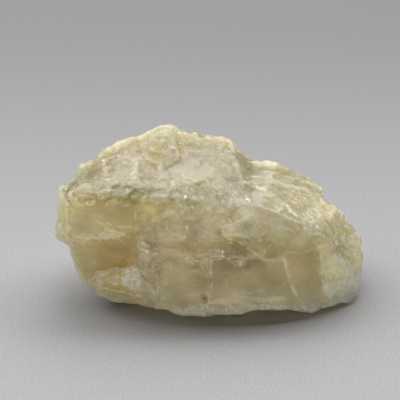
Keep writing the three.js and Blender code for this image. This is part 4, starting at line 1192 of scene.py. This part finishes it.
def total(*terms):
    out = terms[0]
    for t in terms[1:]:
        out = maths("ADD", out, t)
    return out


coords = sn.new("ShaderNodeTexCoord").outputs["Object"]
mm = vmath("SCALE", coords, 1000.0)  # the crystal's own millimetres


def attribute(name):
    node = sn.new("ShaderNodeAttribute")
    node.attribute_name = name
    split = sn.new("ShaderNodeSeparateColor")
    sl.new(node.outputs["Color"], split.inputs[0])
    return (*split.outputs[:3], node.outputs["Alpha"]), node.outputs["Color"]


(a_crush, a_edge_light_and_shade, a_clear, a_powder_and_glow), _c = attribute("state")
(a_cloud, a_plate, a_veined, a_fresh), _c = attribute("broad")
(_r, _g, _b, a_dark), a_tint = attribute("tint")
(a_side, a_strong, a_wide, a_fleck), _c = attribute("fine")

# the crystal's layering: along, across and through
lay = sn.new("ShaderNodeCombineXYZ")
for socket, axis, stretch in zip(lay.inputs, (ALONG, ACROSS, LAY), (2.6, 1.8, 0.8)):
    sl.new(vmath("DOT_PRODUCT", mm, tuple(float(c) / stretch for c in axis), "Value"), socket)
layered = lay.outputs[0]
bent = vmath("MULTIPLY", layered, (1.7, 1.5, 1.0))
bent = vmath("ADD", bent, vmath("SCALE", vmath("SUBTRACT", noise_tex(mm, 1.8, 1.0, 0.5, 0.0, "Color"), (0.5, 0.5, 0.5)), 1.3))


def plates(size, vec):
    """Broken plates: a shade and a tilted height for each."""
    v = vmath("SCALE", vec, 1.0 / size)
    node = sn.new("ShaderNodeTexVoronoi")
    node.voronoi_dimensions = "3D"
    node.feature = "F1"
    node.inputs["Scale"].default_value = 1.0
    sl.new(v, node.inputs["Vector"])
    rel = vmath("SUBTRACT", v, node.outputs["Position"])
    way = vmath("SUBTRACT", node.outputs["Color"], (0.5, 0.5, 0.5))
    tone = vmath("DOT_PRODUCT", node.outputs["Color"], (0.4, 0.3, 0.3), "Value")
    high = maths("MULTIPLY", vmath("DOT_PRODUCT", rel, way, "Value"), size)
    return tone, high


tone1, high1 = plates(1.25, bent)
tone0, high0 = plates(0.52, bent)

# body colour: honey where it is clear, cream where it is crushed
grain = noise_tex(mm, 0.6, 2.0, 0.6)
mottle = noise_tex(layered, 1.2, 2.0, 0.6, 0.5)
crushed = ramp(total(a_crush, centred(mottle, 0.7), centred(a_cloud, 0.5)), 0.1, 0.9)
body = mix(crushed, HONEY, CREAM)
body = mix(1.0, body, a_tint, "MULTIPLY")
busy = ramp(a_crush, 0.0, 0.7, 0.15, 1.0)
shade = total(centred(tone1, 0.09), centred(tone0, 0.08), centred(mottle, 0.09), centred(grain, 0.14))
shade = maths("MULTIPLY", shade, busy)
# painted light and shade: convex edges a little lighter, creases a little darker
shade = total(0.97, shade, centred(a_plate, 0.08), centred(a_cloud, 0.20), centred(a_edge_light_and_shade, 0.10))
body = vmath("SCALE", body, shade)


# fine pale fracture lines, most where the stone is crushed
def traces(vec, size, width, seed):
    moved = vmath("ADD", vec, (seed, seed * 0.7, -seed))
    n = noise_tex(moved, size, 2.0, 0.6, 0.8)
    return ramp(maths("ABSOLUTE", maths("SUBTRACT", n, 0.5)), width, width * 0.2)


cells = sn.new("ShaderNodeTexVoronoi")
cells.voronoi_dimensions = "3D"
cells.feature = "DISTANCE_TO_EDGE"
cells.inputs["Scale"].default_value = 1.0 / 2.1
sl.new(bent, cells.inputs["Vector"])
vein = maths("MULTIPLY", traces(layered, 1.9, 0.030, 3.0), a_veined)
vein = maths("MAXIMUM", vein, maths("MULTIPLY", traces(mm, 2.6, 0.020, 9.0), maths("SUBTRACT", 0.9, a_veined, True)))
vein = maths("MAXIMUM", vein, maths("MULTIPLY", ramp(cells.outputs["Distance"], 0.060, 0.015), ramp(tone1, 0.45, 0.62)))
vein = maths("MULTIPLY", vein, ramp(a_crush, 0.05, 0.55, 0.30, 1.0))
# pale along sharp convex edges: partly real pale fracture edges, partly a painted glow of thin edges
ridge_pale_and_glow = ramp(a_edge_light_and_shade, 0.58, 0.95)
crumbs = maths("MULTIPLY", ramp(maths("ADD", grain, centred(tone0, 0.3)), 0.62, 0.74), ramp(a_crush, 0.35, 0.85, 0.0, 0.50))
pale = maths("MAXIMUM", maths("MULTIPLY", vein, 0.22), maths("MULTIPLY", a_powder_and_glow, ramp(maths("ADD", grain, centred(tone0, 0.4)), 0.3, 0.7, 0.20, 0.9)))
# the drawn fracture lines: thin, a little broken, and the bright flecks, partly painted glints
kinks = noise_tex(mm, 0.75, 1.0, 0.5)
off = maths("ABSOLUTE", maths("ADD", centred(a_side, 1.6), centred(kinks, 0.30)))
off = maths("ADD", off, maths("MULTIPLY", grain, 0.06))
hair = maths("MULTIPLY", ramp(maths("DIVIDE", off, a_wide), 1.25, 0.35), a_strong)
hair = maths("MULTIPLY", hair, ramp(noise_tex(mm, 1.3, 1.0), 0.36, 0.58, 0.20, 1.15))
fleck = ramp(maths("ADD", a_fleck, centred(grain, 1.0)), 0.42, 0.68)
pale = maths("MAXIMUM", pale, maths("MAXIMUM", hair, fleck))
pale = maths("MAXIMUM", pale, maths("MULTIPLY", ridge_pale_and_glow, 0.20))
# short bright glints along the layering
glint = ramp(noise_tex(vmath("MULTIPLY", layered, (1.0, 1.0, 1.5)), 0.62, 1.0, 0.5, 0.3), 0.665, 0.72)
glint = maths("MULTIPLY", glint, ramp(maths("ADD", a_crush, centred(a_veined, 0.3)), 0.30, 0.62, 0.0, 0.90))
pale = maths("MAXIMUM", pale, glint)
pale = maths("MAXIMUM", pale, crumbs, True)
body = mix(pale, body, mix(ramp(maths("MAXIMUM", a_powder_and_glow, maths("MULTIPLY", a_fleck, 1.2)), 0.6, 0.9), PALE, WHITE))
# a few dark specks of trapped dirt
speck = maths("MULTIPLY", ramp(noise_tex(vmath("ADD", mm, (31.0, 7.0, 3.0)), 0.55, 1.0), 0.76, 0.80), a_fresh)
speck = maths("MAXIMUM", speck, ramp(a_dark, 0.28, 0.60))
body = mix(maths("MULTIPLY", speck, 0.6), body, (0.22, 0.16, 0.09))
sl.new(body, sb.inputs["Base Color"])

# small broken facets
rough_amt = ramp(a_crush, 0.08, 0.8, 0.0, 1.0)
height = total(maths("MULTIPLY", high1, 0.38), maths("MULTIPLY", high0, 0.75), maths("MULTIPLY", grain, 0.16))
height = maths("MULTIPLY", height, rough_amt)
height = total(height, maths("MULTIPLY", mottle, 0.03))
bump = sn.new("ShaderNodeBump")
bump.inputs["Strength"].default_value = 1.0
bump.inputs["Distance"].default_value = 0.001
sl.new(height, bump.inputs["Height"])
sl.new(bump.outputs[0], sb.inputs["Normal"])

gloss = total(ramp(a_crush, 0.0, 0.9, 0.25, 0.36), maths("MULTIPLY", centred(grain, 0.25), busy))
sl.new(gloss, sb.inputs["Roughness"])
see = maths("MULTIPLY", ramp(a_clear, 0.0, 1.0, 0.06, 0.20), maths("SUBTRACT", 1.0, pale, True))
sl.new(see, sb.inputs["Transmission Weight"])
sb.inputs["IOR"].default_value = 1.51
sb.inputs["Subsurface Weight"].default_value = 1.0
sb.inputs["Subsurface Radius"].default_value = (1.0, 0.92, 0.66)
sb.inputs["Subsurface Scale"].default_value = 0.030
absorb = sn.new("ShaderNodeVolumeAbsorption")
absorb.inputs["Color"].default_value = (0.80, 0.66, 0.30, 1)
absorb.inputs["Density"].default_value = 40.0
sl.new(absorb.outputs[0], sn["Material Output"].inputs["Volume"])
stone.data.materials.append(smat)

# ---------------------------------------------------------------------------------------
# Floor, lights and camera
# ---------------------------------------------------------------------------------------
floor_mesh = bpy.data.meshes.new("floor")
floor_mesh.from_pydata([(-3, -3, 0), (3, -3, 0), (3, 3, 0), (-3, 3, 0)], [], [(0, 1, 2, 3)])
floor = bpy.data.objects.new("floor", floor_mesh)
bpy.context.scene.collection.objects.link(floor)
fmat, fn, fl, fb = nodes_of("floor_grey")
# a plain grey cloth with a fine grain; paler towards the front and darker behind, painted light standing in for the
# light falling off towards the back
here = fn.new("ShaderNodeTexCoord").outputs["Object"]
parts = fn.new("ShaderNodeSeparateXYZ")
fl.new(here, parts.inputs[0])
fade = fn.new("ShaderNodeMapRange")
fade.interpolation_type = "SMOOTHSTEP"
fl.new(parts.outputs["Y"], fade.inputs["Value"])
for key, val in (("From Min", -0.08), ("From Max", 0.18), ("To Min", 0.520), ("To Max", 0.240)):
    fade.inputs[key].default_value = val
fibre = fn.new("ShaderNodeTexNoise")
fibre.inputs["Scale"].default_value = 2600.0
fibre.inputs["Detail"].default_value = 2.0
fl.new(here, fibre.inputs["Vector"])
speckle = fn.new("ShaderNodeMapRange")
for key, val in (("From Min", 0.3), ("From Max", 0.7), ("To Min", 0.86), ("To Max", 1.14)):
    speckle.inputs[key].default_value = val
fl.new(fibre.outputs["Fac"], speckle.inputs["Value"])
level = fn.new("ShaderNodeMath")
level.operation = "MULTIPLY"
fl.new(fade.outputs[0], level.inputs[0])
fl.new(speckle.outputs[0], level.inputs[1])
grey = fn.new("ShaderNodeVectorMath")
grey.operation = "SCALE"
grey.inputs[0].default_value = (0.995, 0.995, 1.03)
fl.new(level.outputs[0], grey.inputs["Scale"])
fl.new(grey.outputs[0], fb.inputs["Base Color"])
fb.inputs["Roughness"].default_value = 0.75
fb.inputs["Specular IOR Level"].default_value = 0.10
floor_mesh.materials.append(fmat)

world = bpy.data.worlds.new("studio")
world.use_nodes = True
world.node_tree.nodes["Background"].inputs["Color"].default_value = (1.0, 0.985, 0.95, 1)
world.node_tree.nodes["Background"].inputs["Strength"].default_value = 0.055
bpy.context.scene.world = world


def area_light(name, where, towards, width, depth, watts, colour=(1, 1, 1)):
    data = bpy.data.lights.new(name, "AREA")
    data.shape = "RECTANGLE"
    data.size = width
    data.size_y = depth
    data.energy = watts
    data.color = colour
    o = bpy.data.objects.new(name, data)
    o.location = where
    o.rotation_mode = "QUATERNION"
    o.rotation_quaternion = (Vector(where) - Vector(towards)).to_track_quat("Z", "X")
    o.visible_camera = False
    bpy.context.scene.collection.objects.link(o)
    return o


# soft boxes, high and behind: left, right, back and nearly overhead, and a weak low one at the left
area_light("soft_box_left", (-0.33, 0.24, 0.39), (0.0, 0.0, 0.0), 0.34, 0.34, 1.42, (1.0, 0.99, 0.98))
area_light("soft_box_right", (0.33, 0.24, 0.39), (0.0, 0.0, 0.0), 0.34, 0.34, 1.25, (1.0, 0.99, 0.98))
area_light("soft_box_back", (0.0, 0.37, 0.42), (0.0, 0.0, 0.0), 0.40, 0.34, 1.68, (1.0, 0.99, 0.98))
area_light("soft_box_top", (0.0, 0.145, 0.541), (0.0, 0.0, 0.0), 0.30, 0.30, 0.48, (1.0, 0.99, 0.98))
area_light("low_left", (-0.49, 0.05, 0.26), (0.0, 0.0, 0.0), 0.25, 0.20, 0.32, (1.0, 0.99, 0.98))

# and a low, weak one in front, which lifts the front of the stone more than the floor
area_light("front_card", (0.0, -0.74, 0.065), (0.0, 0.0, 0.012), 0.11, 1.00, 2.2, (1.0, 0.93, 0.80))

camera_data = bpy.data.cameras.new("camera")
camera = bpy.data.objects.new("camera", camera_data)
bpy.context.scene.collection.objects.link(camera)
bpy.context.scene.camera = camera
camera_data.sensor_width = 36.0
camera_data.lens = 183.6
camera_data.clip_start = 0.01
camera_data.clip_end = 20.0
camera.rotation_mode = "QUATERNION"
aim = Vector(to_model([-1.76, 0.0, 17.3]))
look = Vector(INTO)
camera.location = aim - look * 0.400
camera.rotation_quaternion = (-look).to_track_quat("Z", "Y")
bpy.context.scene.view_settings.view_transform = "Standard"

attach(stone, "root")
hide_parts(NODE)
